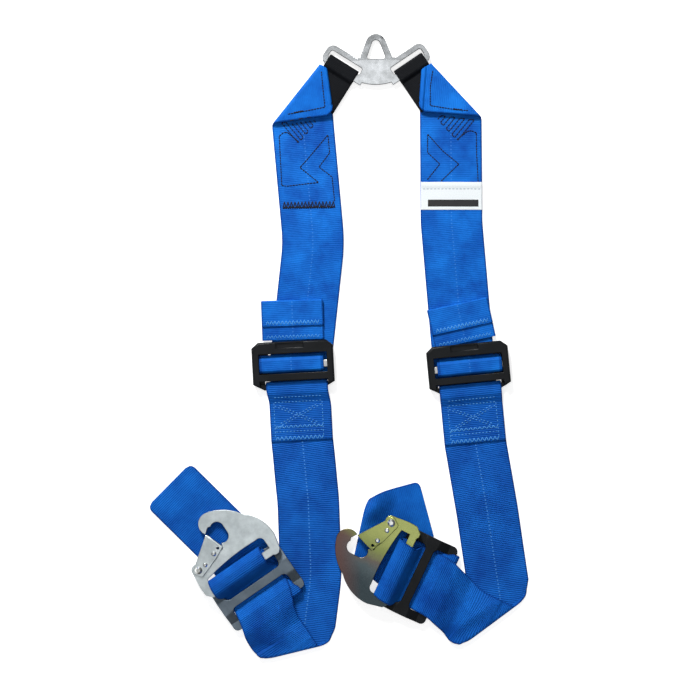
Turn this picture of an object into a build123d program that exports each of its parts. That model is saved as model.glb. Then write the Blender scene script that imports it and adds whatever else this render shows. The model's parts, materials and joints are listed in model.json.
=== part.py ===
from build123d import *
import math
import os

# Crotch strap set of a racing harness, lying flat: a slotted tongue plate, two folded and sewn upper
# straps, two webbing adjusters and two lower straps that end in locking slides and gated snap hooks.
# Millimetres, +Z up. All layout points below are in one plan frame; the finished set is moved so that
# the origin is under the middle of its bounding box, on the surface that it lies on.

# ---- webbing ----
STRAP_WIDTH = 50.0
PLY = 1.3                 # thickness of one layer of strap webbing
PLY_AIR = 0.1             # air between two layers of the same strap
FIT = 0.3                 # clearance between pieces that move past each other
LOOP_WIDTH = 27.0         # the narrow black webbing that holds the tongue plate
LOOP_PLY = 1.2
LAYER = PLY + PLY_AIR

# ---- tongue plate ----
TONGUE_PLACE = (30.0, 213.0)
TONGUE_TURN = 1.0
TONGUE_THICK = 3.0
TONGUE_Z = 3.4            # middle of the plate above the surface
BAR_WIDTH = 6.0           # the bar below each slot that carries the webbing loop
BAR_OUT = (28.5, 12.7)    # middle of a bar from the middle of the plate's lower edge
WING_ANGLE = 33.0
SLOT_LENGTH = 29.4
SLOT_HEIGHT = 6.6
RAIL_WIDTH = 4.4          # the rail above each slot
WING_END = 18.5           # from the middle of the bar to the outer end of the wing
EYE_TOP = 40.9
EYE_WALL = 4.8
EYE_CROWN_RADIUS = 8.2
EYE_DROP_ANGLE = 4.5      # the latch eye bends down towards the surface
EYE_BEND_AT = 19.0

# ---- tongue loops ----
LOOP_LENGTH = 34.0
STRAP_TRIM = 7.4          # strap corners stay this far from the tongue's bar

# ---- adjuster ----
FRAME_WIDTH = 66.0
FRAME_HALF_LENGTH = 19.4
FRAME_HEIGHT = 7.8
FRAME_LIFT = PLY + FIT    # the frame rides on the upper strap
WINDOW_HALF = 27.5
TOP_BAR = (9.7, 19.4)     # from and to, along the strap
JAW_BAR = (-12.1, -6.5)
ANCHOR_BAR = (-19.4, -14.3)
ANCHOR_THICK = 3.3
NOTCH = (22.0, 4.2, 1.5)
TAIL_TUNNEL = PLY + FIT
LOCK_BAR = (-3.0, 3.4)
LOCK_BAR_THICK = 3.2
LOCK_BAR_HALF = 30.5
LOCK_TRAVEL = 1.5
TAB_LENGTH = 19.5
TAIL_REACH = 32.4         # from the hidden end of the tail to the fold of its tab
BOX_LENGTH = 44.0         # sewn end of the lower strap

# ---- slide ----
SLIDE_WIDTH = 68.0
SLIDE_HALF_LENGTH = 21.5
SLIDE_THICK = 3.0
CENTRE_BAR_HALF = 3.6
OUTER_BAR = 5.5
SLIDE_SLOT_HALF = 26.3
SLIDE_LIFT = LAYER        # the slides lie on one more layer of strap
CLIMB_START = 20.5        # from the slide's edge to where the strap starts to rise towards it
CLIMB_LEAD = 6.5          # flat length modelled with that rise

# ---- hook ----
HOOK_THICK = 3.0
HOOK_BAR_HALF = 3.2
HOOK_REACH = 16.8         # from the slide's centre bar to the hook's base bar
HOOK_SWING_ROOM = 3.7     # inner radius of the strap's loop round the base bar
EYE_WIDTH = 11.0
EYE_LENGTH = 18.0
EYE_PLACE = (0.5, 36.5)
PIVOT = (-30.2, 20.4)
GATE_SLOPE = 36.9
GATE_THICK = 1.2
GATE_AIR = 0.25
PIVOT_RADIUS = 1.55
PIVOT_HEAD_RADIUS = 3.1
GATE_RIVETS = [(-23.3, 21.1), (-12.6, 24.5)]
GATE_RIVET_RADIUS = 2.0
GATE_HOLE = (-7.4, 26.4)
GATE_WEB = (9.8, 29.0)    # from and to, along the gate's closed back
GATE_BACK = 4.1           # from the gate's pivot line out to its back
SPRING_THICK = 0.6
SPRING_WIDTH = 2.4
RUNNING_CLEARANCE = 0.05

# ---- where the pieces lie, one column of values for each leg ----
LEGS = {
    "left": {
        "fold_place": (-32.3, 209.8), "fold_angle": 51.6, "mirror": 1,
        "strap_bend": (-20.9, 85.1), "strap_end": (-32.1, -17.8),
        "adjuster": (-37.4, -13.8), "turn": 3.0, "tail_angle": 92.0, "tail_offset": 1.0,
        "strap_offset": 2.2, "waypoints": [(-25.3, -123.1), (-23.1, -183.9)],
        "slide": (-67.2, -192.6), "heading": 124.6, "fold_reach": 64.0,
        "tail_layer": 1, "hook_tilt": 8.5, "tail_end": (-138.3, -110.9), "tail_fold": None,
    },
    "right": {
        "fold_place": (89.9, 214.2), "fold_angle": 133.1, "mirror": -1,
        "strap_bend": (90.6, 102.1), "strap_end": (101.2, -19.4),
        "adjuster": (104.1, -15.8), "turn": 5.5, "tail_angle": 102.5, "tail_offset": 0.0,
        "strap_offset": 0.0, "waypoints": [(119.4, -131.2)],
        "slide": (62.7, -184.0), "heading": 154.7, "fold_reach": 76.9,
        "tail_layer": 0, "hook_tilt": 6.5, "tail_end": (70.9, -132.0), "tail_fold": (16.6, -146.6),
    },
}
FLAP_LENGTH = 24.0
FLAP_CORNER = 6.0
LABEL_SIZE = (49.5, 22.5, 0.5)
LABEL_PLACE = (90.6, 123.0)

FAR = 400.0               # larger than any piece, for cutting along a line


def polar(angle, length=1.0):
    """A plan vector from an angle in degrees."""
    return Vector(math.cos(math.radians(angle)), math.sin(math.radians(angle)), 0) * length


def moved(place, angle, distance):
    """The plan point at a distance from another, in a direction."""
    step = polar(angle, distance)
    return (place[0] + step.X, place[1] + step.Y)


def angle_of(start, end):
    """Plan direction, in degrees, from one point to another."""
    return math.degrees(math.atan2(end[1] - start[1], end[0] - start[0]))


def point(place, z=0.0):
    return Vector(place[0], place[1], z)


def easy_radii(points, largest=130.0):
    """For each corner of a plan route, the radius of the gentle bend that fits between its runs."""
    radii = []
    for before, corner, after in zip(points, points[1:], points[2:]):
        turn = abs(angle_of(corner, after) - angle_of(before, corner))
        run = min(math.dist(before, corner), math.dist(corner, after))
        radii.append(min(largest, 0.45 * run / math.tan(math.radians(turn / 2))))
    return radii


def flat_ply(points, z, width=STRAP_WIDTH, thick=PLY):
    """A layer of webbing that lies flat along a plan route."""
    if len(points) == 2:
        path = Line(*points)
    else:
        path = FilletPolyline(*points, radius=easy_radii(points))
    return extrude(Pos(0, 0, z) * trace(path, line_width=width), thick)


def bent_ply(place, heading, points, radius, width=STRAP_WIDTH, thick=PLY):
    """A layer of webbing bent up and down along a straight heading: points are (along, height)."""
    run = polar(heading)
    plane = Plane(origin=point(place), x_dir=run, z_dir=run.cross(Vector(0, 0, 1)))
    profile = trace(FilletPolyline(*points, radius=radius), line_width=thick)
    return extrude(plane * profile, amount=width / 2, both=True)


def beyond(place, angle):
    """A block that holds everything past a plan line, on the side that the angle points to."""
    centre = point(place) + polar(angle, FAR / 2)
    return Pos(centre) * Rot(0, 0, angle) * Box(FAR, FAR, FAR)


def fold_edge(middle, line_angle, length, low, high, outward):
    """The rounded edge of a fold between a lower layer at low and an upper layer ending at high."""
    outer = (high - low) / 2
    start = point(middle, (high + low) / 2) - polar(line_angle, length / 2)
    plane = Plane(origin=start, x_dir=polar(outward), z_dir=polar(line_angle))
    ring = Circle(outer)
    if outer - PLY > PLY_AIR:
        ring -= Circle(outer - PLY)
    half = ring & (Pos(outer, 0) * Rectangle(2 * outer, 4 * outer))
    return extrude(plane * half, length)


def round_end(ply, end, radius):
    """Webbing with its two corners at a cut end rounded."""
    near = ply.edges().filter_by(Axis.Z).sort_by(lambda edge: (edge.center() - point(end)).length)
    return fillet(near[:2], radius)


def folded(route, fold_at, out_heading, out_length, low_z, high_z, corner=0.0):
    """Webbing that runs along a route to a diagonal fold and leaves it on an upper layer."""
    in_heading = angle_of(route[-1], fold_at)
    line = (in_heading + out_heading) / 2
    outward = line + 90
    if polar(outward).dot(polar(in_heading)) < 0:
        outward = line - 90
    lower = flat_ply([*route, moved(fold_at, in_heading, STRAP_WIDTH)], low_z)
    out_end = moved(fold_at, out_heading, out_length)
    upper = flat_ply([moved(fold_at, out_heading, -STRAP_WIDTH), out_end], high_z)
    if corner:
        upper = round_end(upper, out_end, corner)
    past_fold = beyond(fold_at, outward)
    length = STRAP_WIDTH / abs(math.sin(math.radians(in_heading - line)))
    edge = fold_edge(fold_at, line, length, low_z, high_z + PLY, outward)
    return (lower - past_fold) + (upper - past_fold) + edge


# ------------------------------------------------------------------ tongue plate

def tongue_location(z=0.0):
    return Pos(TONGUE_PLACE[0], TONGUE_PLACE[1], z) * Rot(0, 0, TONGUE_TURN)


def wing_location(side):
    """Frame of a slot's bar: x outwards along the bar, y from the bar towards the slot."""
    place = Pos(side * BAR_OUT[0], BAR_OUT[1]) * Rot(0, 0, side * WING_ANGLE)
    return place


def wing(side):
    """One slotted wing, as a flat face in the plate's own plan."""
    low = -BAR_WIDTH / 2
    high = BAR_WIDTH / 2 + SLOT_HEIGHT + RAIL_WIDTH
    inner = -20.0
    face = Pos((inner + WING_END) / 2, (low + high) / 2) * Rectangle(WING_END - inner, high - low)
    outer_corners = face.vertices().sort_by(Axis.X)[-2:]
    face = fillet(outer_corners, RAIL_WIDTH + 1.6)
    slot_middle = BAR_WIDTH / 2 + SLOT_HEIGHT / 2
    slot = Pos(0, slot_middle) * RectangleRounded(SLOT_LENGTH, SLOT_HEIGHT, 1.6)
    if side < 0:
        face = mirror(face, Plane.YZ)
    return wing_location(side) * face, wing_location(side) * slot


def tongue_plate():
    left_face, left_slot = wing(-1)
    right_face, right_slot = wing(1)
    lower_edge = 18.2
    belly = make_face(
        [
            ThreePointArc((-lower_edge, 4.0), (0, -0.3), (lower_edge, 4.0)),
            Line((lower_edge, 4.0), (15.5, 21.5)),
            Line((15.5, 21.5), (-15.5, 21.5)),
            Line((-15.5, 21.5), (-lower_edge, 4.0)),
        ]
    )
    crown = Pos(0, EYE_TOP - EYE_CROWN_RADIUS) * Circle(EYE_CROWN_RADIUS)
    foot = Pos(0, 20.0) * Rectangle(27.0, 1.0)
    eye = make_hull((crown + foot).edges())
    hole_crown = Pos(0, EYE_TOP - EYE_CROWN_RADIUS) * Circle(EYE_CROWN_RADIUS - EYE_WALL)
    hole_foot = [Pos(x, 22.2) * Circle(1.6) for x in (-5.7, 5.7)]
    hole = make_hull((hole_crown + hole_foot).edges())
    outline = belly + left_face + right_face + eye - left_slot - right_slot - hole
    blank = extrude(Pos(0, 0, -FAR / 8) * outline, FAR / 4)
    drop = 30.0 * math.tan(math.radians(EYE_DROP_ANGLE))
    bend = FilletPolyline((-5, 0), (EYE_BEND_AT, 0), (EYE_BEND_AT + 30.0, -drop), radius=20)
    sheet = extrude(Plane.YZ * trace(bend, line_width=TONGUE_THICK), amount=60, both=True)
    return tongue_location(TONGUE_Z) * (blank & sheet)


def bar_place(leg):
    """Plan point at the middle of a tongue bar, and the heading in which its loop leaves."""
    side = -leg["mirror"]
    middle = tongue_location() * Pos(side * BAR_OUT[0], BAR_OUT[1])
    heading = TONGUE_TURN + (side * WING_ANGLE - 90 if side > 0 else 270 - WING_ANGLE)
    return (middle.position.X, middle.position.Y), heading


def tongue_loop(leg):
    """Black webbing round the tongue's bar, both ends sewn inside the folded head of the strap."""
    place, heading = bar_place(leg)
    half = TONGUE_THICK / 2 + FIT + LOOP_PLY / 2
    low = LAYER + LOOP_PLY / 2
    high = low + LOOP_PLY + PLY_AIR
    end = -(BAR_WIDTH / 2 + FIT + LOOP_PLY / 2)
    points = [
        (LOOP_LENGTH, low),
        (STRAP_TRIM, low),
        (STRAP_TRIM - 2.9, TONGUE_Z - half),
        (end, TONGUE_Z - half),
        (end, TONGUE_Z + half),
        (-end, TONGUE_Z + half),
        (-end + 2.7, high),
        (LOOP_LENGTH, high),
    ]
    return bent_ply(place, heading, points, 1.2, LOOP_WIDTH, LOOP_PLY)


# ------------------------------------------------------------------ upper strap

def upper_strap(leg):
    """From under the adjuster up to the diagonal fold, whose flap closes over the tongue loop."""
    up = angle_of(leg["strap_bend"], leg["fold_place"])
    flap_heading = 2 * leg["fold_angle"] - up
    flap_z = LAYER + 2 * (LOOP_PLY + PLY_AIR)
    route = [leg["strap_end"], leg["strap_bend"]]
    strap = folded(route, leg["fold_place"], flap_heading, FLAP_LENGTH, 0, flap_z, FLAP_CORNER)
    place, heading = bar_place(leg)
    return strap - beyond(moved(place, heading, STRAP_TRIM), heading + 180)


def strap_label():
    size = LABEL_SIZE
    return Pos(*LABEL_PLACE, PLY + PLY_AIR + size[2] / 2) * Box(*size)


# ------------------------------------------------------------------ adjuster

def adjuster_location(leg, z=0.0):
    """Frame of an adjuster: x across the strap, y along it towards the tongue."""
    return Pos(leg["adjuster"][0], leg["adjuster"][1], z) * Rot(0, 0, leg["turn"])


def block(x, y, z):
    """A box from three (from, to) spans."""
    size = [b - a for a, b in (x, y, z)]
    middle = [(a + b) / 2 for a, b in (x, y, z)]
    return Pos(*middle) * Box(*size)


def adjuster_frame(leg):
    half = FRAME_WIDTH / 2
    end = FRAME_HALF_LENGTH
    top = FRAME_LIFT + FRAME_HEIGHT
    outline = make_face(
        Polyline(
            (-half, -end + 5), (-half + 9, -end), (half - 9, -end), (half, -end + 5),
            (half, end - 4.5), (half - 5.5, end), (-half + 5.5, end), (-half, end - 4.5), close=True,
        )
    )
    frame = extrude(Pos(0, 0, FRAME_LIFT) * outline, FRAME_HEIGHT)
    frame = chamfer(frame.faces().sort_by(Axis.Z)[-1].edges(), 1.2)
    window = (-WINDOW_HALF, WINDOW_HALF)
    tunnel_top = FRAME_LIFT + TAIL_TUNNEL
    frame -= block(window, (JAW_BAR[1], TOP_BAR[0]), (0, FAR))
    frame -= block(window, (TOP_BAR[0] - 1, TOP_BAR[1] + 1), (0, tunnel_top))
    frame -= block(window, (ANCHOR_BAR[1], JAW_BAR[0]), (0, FAR))
    frame -= block(window, (-end - 1, ANCHOR_BAR[1] + 1), (FRAME_LIFT + ANCHOR_THICK, FAR))
    lip = make_face(
        Polyline((TOP_BAR[0] - 1, tunnel_top), (TOP_BAR[0] - 1, 6.4), (TOP_BAR[0], 6.0),
                 (TOP_BAR[0] + 3, tunnel_top), close=True)
    )
    frame -= extrude(Plane.YZ * lip, amount=WINDOW_HALF, both=True)
    notch = Pos(-2.0, 16.1, top) * Box(NOTCH[0], NOTCH[1], 2 * NOTCH[2])
    frame -= notch
    bar_low = FRAME_LIFT + LOCK_BAR_THICK / 2 - FIT - 0.1
    frame -= block(
        (-LOCK_BAR_HALF - FIT, LOCK_BAR_HALF + FIT),
        (LOCK_BAR[0] - FIT, LOCK_BAR[1] + LOCK_TRAVEL + FIT),
        (bar_low, bar_low + LOCK_BAR_THICK + 2 * FIT),
    )
    return adjuster_location(leg) * frame


def lock_bar_bottom():
    return FRAME_LIFT + LOCK_BAR_THICK / 2 - 0.1


def lock_bar(leg):
    low = lock_bar_bottom()
    bar = block((-LOCK_BAR_HALF, LOCK_BAR_HALF), LOCK_BAR, (low, low + LOCK_BAR_THICK))
    bar = fillet(bar.edges().filter_by(Axis.X), 1.0)
    return adjuster_location(leg) * bar


def lock_wrap(leg):
    """The turn of strap round the lock bar, closed down towards the tail."""
    low = FRAME_LIFT + PLY / 2
    high = lock_bar_bottom() + LOCK_BAR_THICK + 0.2 + PLY / 2
    back = LOCK_BAR[0] - 2.05
    points = [(5.5, low), (back, low), (back, high), (5.4, high), (8.6, 3.95)]
    return bent_ply(leg["adjuster"], leg["turn"] + 90, points, 1.3)


def pull_tab(leg):
    """The strap's free tail, folded over and sewn into a tab that can't pull through the frame."""
    start = adjuster_location(leg) * Pos(leg["tail_offset"], TOP_BAR[1] - 0.5)
    base = (start.position.X, start.position.Y)
    low = FRAME_LIFT
    high = low + LAYER
    heading = leg["tail_angle"]
    fold_at = moved(base, heading, TAIL_REACH)
    lower = flat_ply([moved(base, heading, -8), fold_at], low)
    upper = flat_ply([moved(fold_at, heading, -TAB_LENGTH), fold_at], high)
    edge = fold_edge(fold_at, heading + 90, STRAP_WIDTH, low, high + PLY, heading)
    return lower + upper + edge - beyond(base, leg["turn"] - 90)


# ------------------------------------------------------------------ lower strap and slide

def slide_place(leg, along=0.0):
    """Plan point at a distance past the slide's centre bar, towards the hook."""
    return moved(leg["slide"], leg["heading"], along)


def hook_bar_height():
    return SLIDE_LIFT + FRAME_LIFT + SLIDE_THICK + PLY_AIR + PLY + HOOK_SWING_ROOM


def slide_levels():
    """Middle heights of the slide's outer bars and centre bar."""
    outer = SLIDE_LIFT + PLY + FIT + SLIDE_THICK / 2
    centre = SLIDE_LIFT + 2 * LAYER + PLY + FIT + SLIDE_THICK / 2
    return outer, centre


def anchor_loop(leg):
    """The sewn loop of the lower strap round the adjuster's anchor bar."""
    middle = (ANCHOR_BAR[0] + ANCHOR_BAR[1]) / 2
    half = (ANCHOR_BAR[1] - ANCHOR_BAR[0]) / 2
    start = adjuster_location(leg) * Pos(leg["strap_offset"], middle)
    place = (start.position.X, start.position.Y)
    over = FRAME_LIFT + ANCHOR_THICK + FIT + PLY / 2
    back = -(half + 0.45 + PLY / 2)
    low = PLY / 2
    points = [(BOX_LENGTH, low + LAYER), (13, low + LAYER), (5.5, over), (back, over), (back, low),
              (BOX_LENGTH, low)]
    loop = bent_ply(place, leg["turn"] - 90, points, 0.8)
    return loop, moved(place, leg["turn"] - 90, BOX_LENGTH)


def woven_run(leg):
    """From the diagonal fold through the slide, round the hook's bar, back and round the slide."""
    outer, centre = slide_levels()
    over_r = outer + SLIDE_THICK / 2 + PLY_AIR + PLY / 2
    over_m = over_r + LAYER
    under_m = centre - SLIDE_THICK / 2 - FIT - PLY / 2
    under_r = under_m - LAYER
    folded_low = LAYER + PLY / 2
    hook_z = hook_bar_height()
    turn = HOOK_SWING_ROOM + PLY / 2
    far = HOOK_REACH + turn
    tail = PLY / 2 + leg["tail_layer"] * LAYER
    back = -(SLIDE_HALF_LENGTH + 2.7)
    climb = -(SLIDE_HALF_LENGTH + CLIMB_START)
    tail_turn = 0.48 * (over_r - tail)
    points = [
        (climb - CLIMB_LEAD, folded_low),
        (climb, folded_low),
        (climb + 15, over_m),
        (-15.0, over_m),
        (-6.0, under_m),
        (5.5, under_m),
        (HOOK_REACH - 2.8, hook_z + turn),
        (far, hook_z + turn),
        (far, hook_z - turn),
        (HOOK_REACH - 3.3, hook_z - turn),
        (7.5, under_r),
        (-6.25, under_r),
        (-15.25, over_r),
        (back, over_r),
        (back, tail),
        (10, tail),
    ]
    radii = [6, 6, 3, 3, 3, 3, turn - 0.05, turn - 0.05, 2, 2, 3, 3, tail_turn, tail_turn]
    if leg["tail_layer"]:
        points += [(16, PLY / 2), (24, PLY / 2)]
        radii += [3, 3]
    return bent_ply(leg["slide"], leg["heading"], points, radii)


def lower_strap(leg):
    loop, loop_end = anchor_loop(leg)
    fold_at = slide_place(leg, -leg["fold_reach"])
    heading = leg["heading"]
    flat_length = leg["fold_reach"] - SLIDE_HALF_LENGTH - CLIMB_START - CLIMB_LEAD + 1
    run = folded([loop_end, *leg["waypoints"]], fold_at, heading, flat_length, 0, LAYER)
    strap = loop + run + woven_run(leg)
    tail_start = 18.0 if leg["tail_layer"] else 4.0
    joint = [slide_place(leg, tail_start), slide_place(leg, tail_start + 5)]
    if leg["tail_fold"]:
        turn_back = angle_of(leg["tail_fold"], leg["tail_end"])
        length = math.dist(leg["tail_fold"], leg["tail_end"])
        strap += folded(joint, leg["tail_fold"], turn_back, length, 0, LAYER, 3.0)
    else:
        strap += round_end(flat_ply([*joint, leg["tail_end"]], 0), leg["tail_end"], 5.5)
    return strap


def strap_slide(leg):
    """A pressed three-bar slide: the centre bar stands above the outer bars."""
    outline = RectangleRounded(SLIDE_WIDTH, 2 * SLIDE_HALF_LENGTH, 4.0)
    slot_low = CENTRE_BAR_HALF
    slot_high = SLIDE_HALF_LENGTH - OUTER_BAR
    slot = RectangleRounded(2 * SLIDE_SLOT_HALF, slot_high - slot_low, 4.0)
    for side in (-1, 1):
        outline -= Pos(0, side * (slot_low + slot_high) / 2) * slot
    outer, centre = slide_levels()
    blank = extrude(outline, FAR / 8)
    press = FilletPolyline(
        (-SLIDE_HALF_LENGTH - 2, outer), (-14, outer), (-5.5, centre), (5.5, centre), (14, outer),
        (SLIDE_HALF_LENGTH + 2, outer), radius=4,
    )
    sheet = extrude(Plane.YZ * trace(press, line_width=SLIDE_THICK), amount=SLIDE_WIDTH, both=True)
    place = Pos(*leg["slide"], 0) * Rot(0, 0, leg["heading"] - 90)
    return place * (blank & sheet)


# ------------------------------------------------------------------ hook and gate

def hook_location(leg):
    """Frame of a hook: x along its base bar, y towards its nose, z out of its face."""
    place = slide_place(leg, HOOK_REACH)
    turn = Pos(*place, hook_bar_height()) * Rot(0, 0, leg["heading"] - 90)
    return turn * Rot(-leg["hook_tilt"], 0, 0)


def handed(leg, shape):
    """The right hook is the same part, turned over."""
    return shape if leg["mirror"] > 0 else mirror(shape, Plane.YZ)


def hook_outline():
    foot = -HOOK_BAR_HALF - 1.2
    nose_tip = (-9.8, 41.5)
    lines = [
        Polyline((-27.5, -HOOK_BAR_HALF), (-29, foot), (-32, foot), (-36.6, 0.5), (-37, 8), (-35.8, 21)),
        ThreePointArc((-35.8, 21), (-34.2, 25.0), (-30.2, 26.0)),
        Polyline((-30.2, 26.0), (-24.0, 22.6), (-4.6, 24.0), (-2.6, 29.0), (-2.6, 44.2), (-5.2, 45.0),
                 nose_tip),
        ThreePointArc(nose_tip, (-10.7, 50.5), (0, 55.7)),
        ThreePointArc((0, 55.7), (13, 50.0), (24.3, 38)),
        ThreePointArc((24.3, 38), (33.8, 25.7), (36.8, 10.6)),
        Polyline((36.8, 10.6), (34.2, -1.5), (31.5, foot), (28.5, foot), (26.6, -HOOK_BAR_HALF),
                 (-27.5, -HOOK_BAR_HALF)),
    ]
    return make_face(lines)


def hook_plate(leg):
    face = hook_outline()
    face -= Pos(*EYE_PLACE) * Rot(0, 0, 90) * SlotOverall(EYE_LENGTH, EYE_WIDTH)
    slot = make_face(
        [
            Polyline((-28.5, 10.5), (-28.5, HOOK_BAR_HALF), (27.0, HOOK_BAR_HALF), (27.0, 10.5)),
            ThreePointArc((27.0, 10.5), (25.4, 13.6), (21.5, 14.4)),
            ThreePointArc((21.5, 14.4), (-3.0, 14.2), (-28.5, 10.5)),
        ]
    )
    face -= slot
    face -= Pos(*PIVOT) * Circle(PIVOT_RADIUS + RUNNING_CLEARANCE)
    plate = extrude(face, amount=HOOK_THICK / 2, both=True)
    return hook_location(leg) * handed(leg, plate)


def gate_point(along, across):
    """A point of the gate from its pivot, along and across its back."""
    direction = math.radians(GATE_SLOPE)
    x = PIVOT[0] + along * math.cos(direction) - across * math.sin(direction)
    y = PIVOT[1] + along * math.sin(direction) + across * math.cos(direction)
    return x, y


def gate_cheek():
    """One cheek of the gate, as a flat face."""
    cheek = make_face(
        Polyline(gate_point(-4.2, GATE_BACK), gate_point(GATE_WEB[1], GATE_BACK), gate_point(24.5, -12.3),
                 gate_point(14.0, -10.5), gate_point(-4.2, -5.0), close=True)
    )
    cheek = fillet(cheek.vertices().sort_by(lambda v: v.X)[:2], 2.4)
    cheek -= Pos(*PIVOT) * Circle(PIVOT_RADIUS + RUNNING_CLEARANCE)
    return cheek - Pos(*GATE_HOLE) * Circle(1.0)


def gate_channel(leg):
    inside = HOOK_THICK / 2 + GATE_AIR
    upper = extrude(Pos(0, 0, inside) * gate_cheek(), GATE_THICK)
    lower = mirror(upper, Plane.XY)
    back = make_face(
        Polyline(gate_point(GATE_WEB[0], GATE_BACK - GATE_THICK), gate_point(GATE_WEB[0], GATE_BACK),
                 gate_point(GATE_WEB[1], GATE_BACK), gate_point(GATE_WEB[1] - 0.4, GATE_BACK - GATE_THICK),
                 close=True)
    )
    spine = extrude(back, amount=inside + GATE_THICK, both=True)
    return hook_location(leg) * handed(leg, upper + lower + spine)


def rivet_head(radius, height, seat):
    """A low cone whose wide end is on the seat."""
    return Pos(0, 0, seat + height / 2) * Cone(radius, 0.5 * radius, height)


def pivot_rivet(leg):
    seat = HOOK_THICK / 2 + GATE_AIR + GATE_THICK + 0.1
    upper = rivet_head(PIVOT_HEAD_RADIUS, 1.5, seat)
    lower = mirror(rivet_head(PIVOT_HEAD_RADIUS, 1.0, seat), Plane.XY)
    rivet = Cylinder(PIVOT_RADIUS, 2 * seat) + upper + lower
    return hook_location(leg) * handed(leg, Pos(*PIVOT) * rivet)


def gate_rivets(leg):
    """Rivet heads on the upper cheek. Inside and below, the rivets are peened flush with the cheeks."""
    head = rivet_head(GATE_RIVET_RADIUS, 1.1, HOOK_THICK / 2 + GATE_AIR + GATE_THICK)
    heads = [handed(leg, Pos(x, y) * head) for x, y in GATE_RIVETS]
    return Compound([hook_location(leg) * shape for shape in heads])


def gate_spring(leg):
    """A bent leaf that pushes the gate's back outwards from the plate."""
    path = FilletPolyline(gate_point(24.0, 2.2), gate_point(10.5, 2.2), gate_point(9.8, 0.2),
                          (-12.0, 25.2), radius=0.9)
    leaf = trace(path, line_width=SPRING_THICK)
    return hook_location(leg) * handed(leg, extrude(leaf, amount=SPRING_WIDTH / 2, both=True))


# ------------------------------------------------------------------ the whole set

def build():
    """Every node's solid, in the plan frame."""
    nodes = {"tongue_plate": tongue_plate(), "strap_label": strap_label()}
    makers = {
        "tongue_loop": tongue_loop, "upper_strap": upper_strap, "pull_tab": pull_tab,
        "adjuster_frame": adjuster_frame, "lock_bar": lock_bar, "lock_wrap": lock_wrap,
        "lower_strap": lower_strap, "strap_slide": strap_slide, "hook_plate": hook_plate,
        "gate_channel": gate_channel, "pivot_rivet": pivot_rivet, "gate_rivets": gate_rivets,
        "gate_spring": gate_spring,
    }
    for side, leg in LEGS.items():
        for name, maker in makers.items():
            nodes[f"{side}_{name}"] = maker(leg)
    return nodes


def shift_of(nodes):
    """The move that puts the middle of the set's underside at the origin."""
    boxes = [shape.bounding_box() for shape in nodes.values()]
    low = [min(getattr(box.min, axis) for box in boxes) for axis in "XYZ"]
    high = [max(getattr(box.max, axis) for box in boxes) for axis in "XYZ"]
    return Vector(-(low[0] + high[0]) / 2, -(low[1] + high[1]) / 2, -low[2])


NODES = build()
SHIFT = shift_of(NODES)
os.makedirs("parts", exist_ok=True)
for node_name, node_shape in NODES.items():
    export_step(Pos(SHIFT) * node_shape, f"parts/{node_name}.step")
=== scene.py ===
import json
import math

import bmesh
import bpy
from mathutils import Matrix, Vector, noise
from mathutils.bvhtree import BVHTree
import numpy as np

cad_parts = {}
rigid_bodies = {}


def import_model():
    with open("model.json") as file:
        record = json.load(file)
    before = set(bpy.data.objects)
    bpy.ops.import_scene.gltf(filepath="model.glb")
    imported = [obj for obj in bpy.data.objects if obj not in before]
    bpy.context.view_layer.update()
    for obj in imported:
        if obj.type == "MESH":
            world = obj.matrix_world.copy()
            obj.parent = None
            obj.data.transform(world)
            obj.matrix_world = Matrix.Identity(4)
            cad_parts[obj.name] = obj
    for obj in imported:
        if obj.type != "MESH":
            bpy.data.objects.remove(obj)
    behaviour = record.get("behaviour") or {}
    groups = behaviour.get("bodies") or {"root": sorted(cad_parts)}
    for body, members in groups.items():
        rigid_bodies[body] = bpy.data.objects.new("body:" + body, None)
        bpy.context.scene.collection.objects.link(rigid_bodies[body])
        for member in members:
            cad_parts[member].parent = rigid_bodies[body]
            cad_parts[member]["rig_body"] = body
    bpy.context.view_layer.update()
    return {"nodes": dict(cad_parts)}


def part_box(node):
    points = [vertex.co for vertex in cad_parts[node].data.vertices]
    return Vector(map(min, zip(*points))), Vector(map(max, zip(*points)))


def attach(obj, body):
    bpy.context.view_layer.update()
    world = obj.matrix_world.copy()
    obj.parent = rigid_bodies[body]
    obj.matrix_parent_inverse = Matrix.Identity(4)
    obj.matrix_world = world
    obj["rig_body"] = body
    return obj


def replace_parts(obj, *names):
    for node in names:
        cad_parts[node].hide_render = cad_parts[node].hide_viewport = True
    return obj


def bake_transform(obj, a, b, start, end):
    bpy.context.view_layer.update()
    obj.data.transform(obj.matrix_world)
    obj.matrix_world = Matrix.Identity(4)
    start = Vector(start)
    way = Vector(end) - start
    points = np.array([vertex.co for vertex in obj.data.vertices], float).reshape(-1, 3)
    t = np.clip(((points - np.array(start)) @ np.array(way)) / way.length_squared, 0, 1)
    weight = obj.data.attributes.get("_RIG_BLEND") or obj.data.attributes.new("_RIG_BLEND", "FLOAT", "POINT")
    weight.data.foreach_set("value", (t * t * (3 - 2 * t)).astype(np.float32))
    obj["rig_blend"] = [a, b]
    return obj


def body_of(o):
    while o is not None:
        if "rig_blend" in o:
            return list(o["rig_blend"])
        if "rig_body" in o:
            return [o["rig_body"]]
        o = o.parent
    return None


# Crotch strap set of a racing harness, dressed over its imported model. Layout values are millimetres in
# the plan frame of the part's source, and PLAN moves them to the part's own frame. Meshes are metres.

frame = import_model()

MM = 0.001

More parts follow.
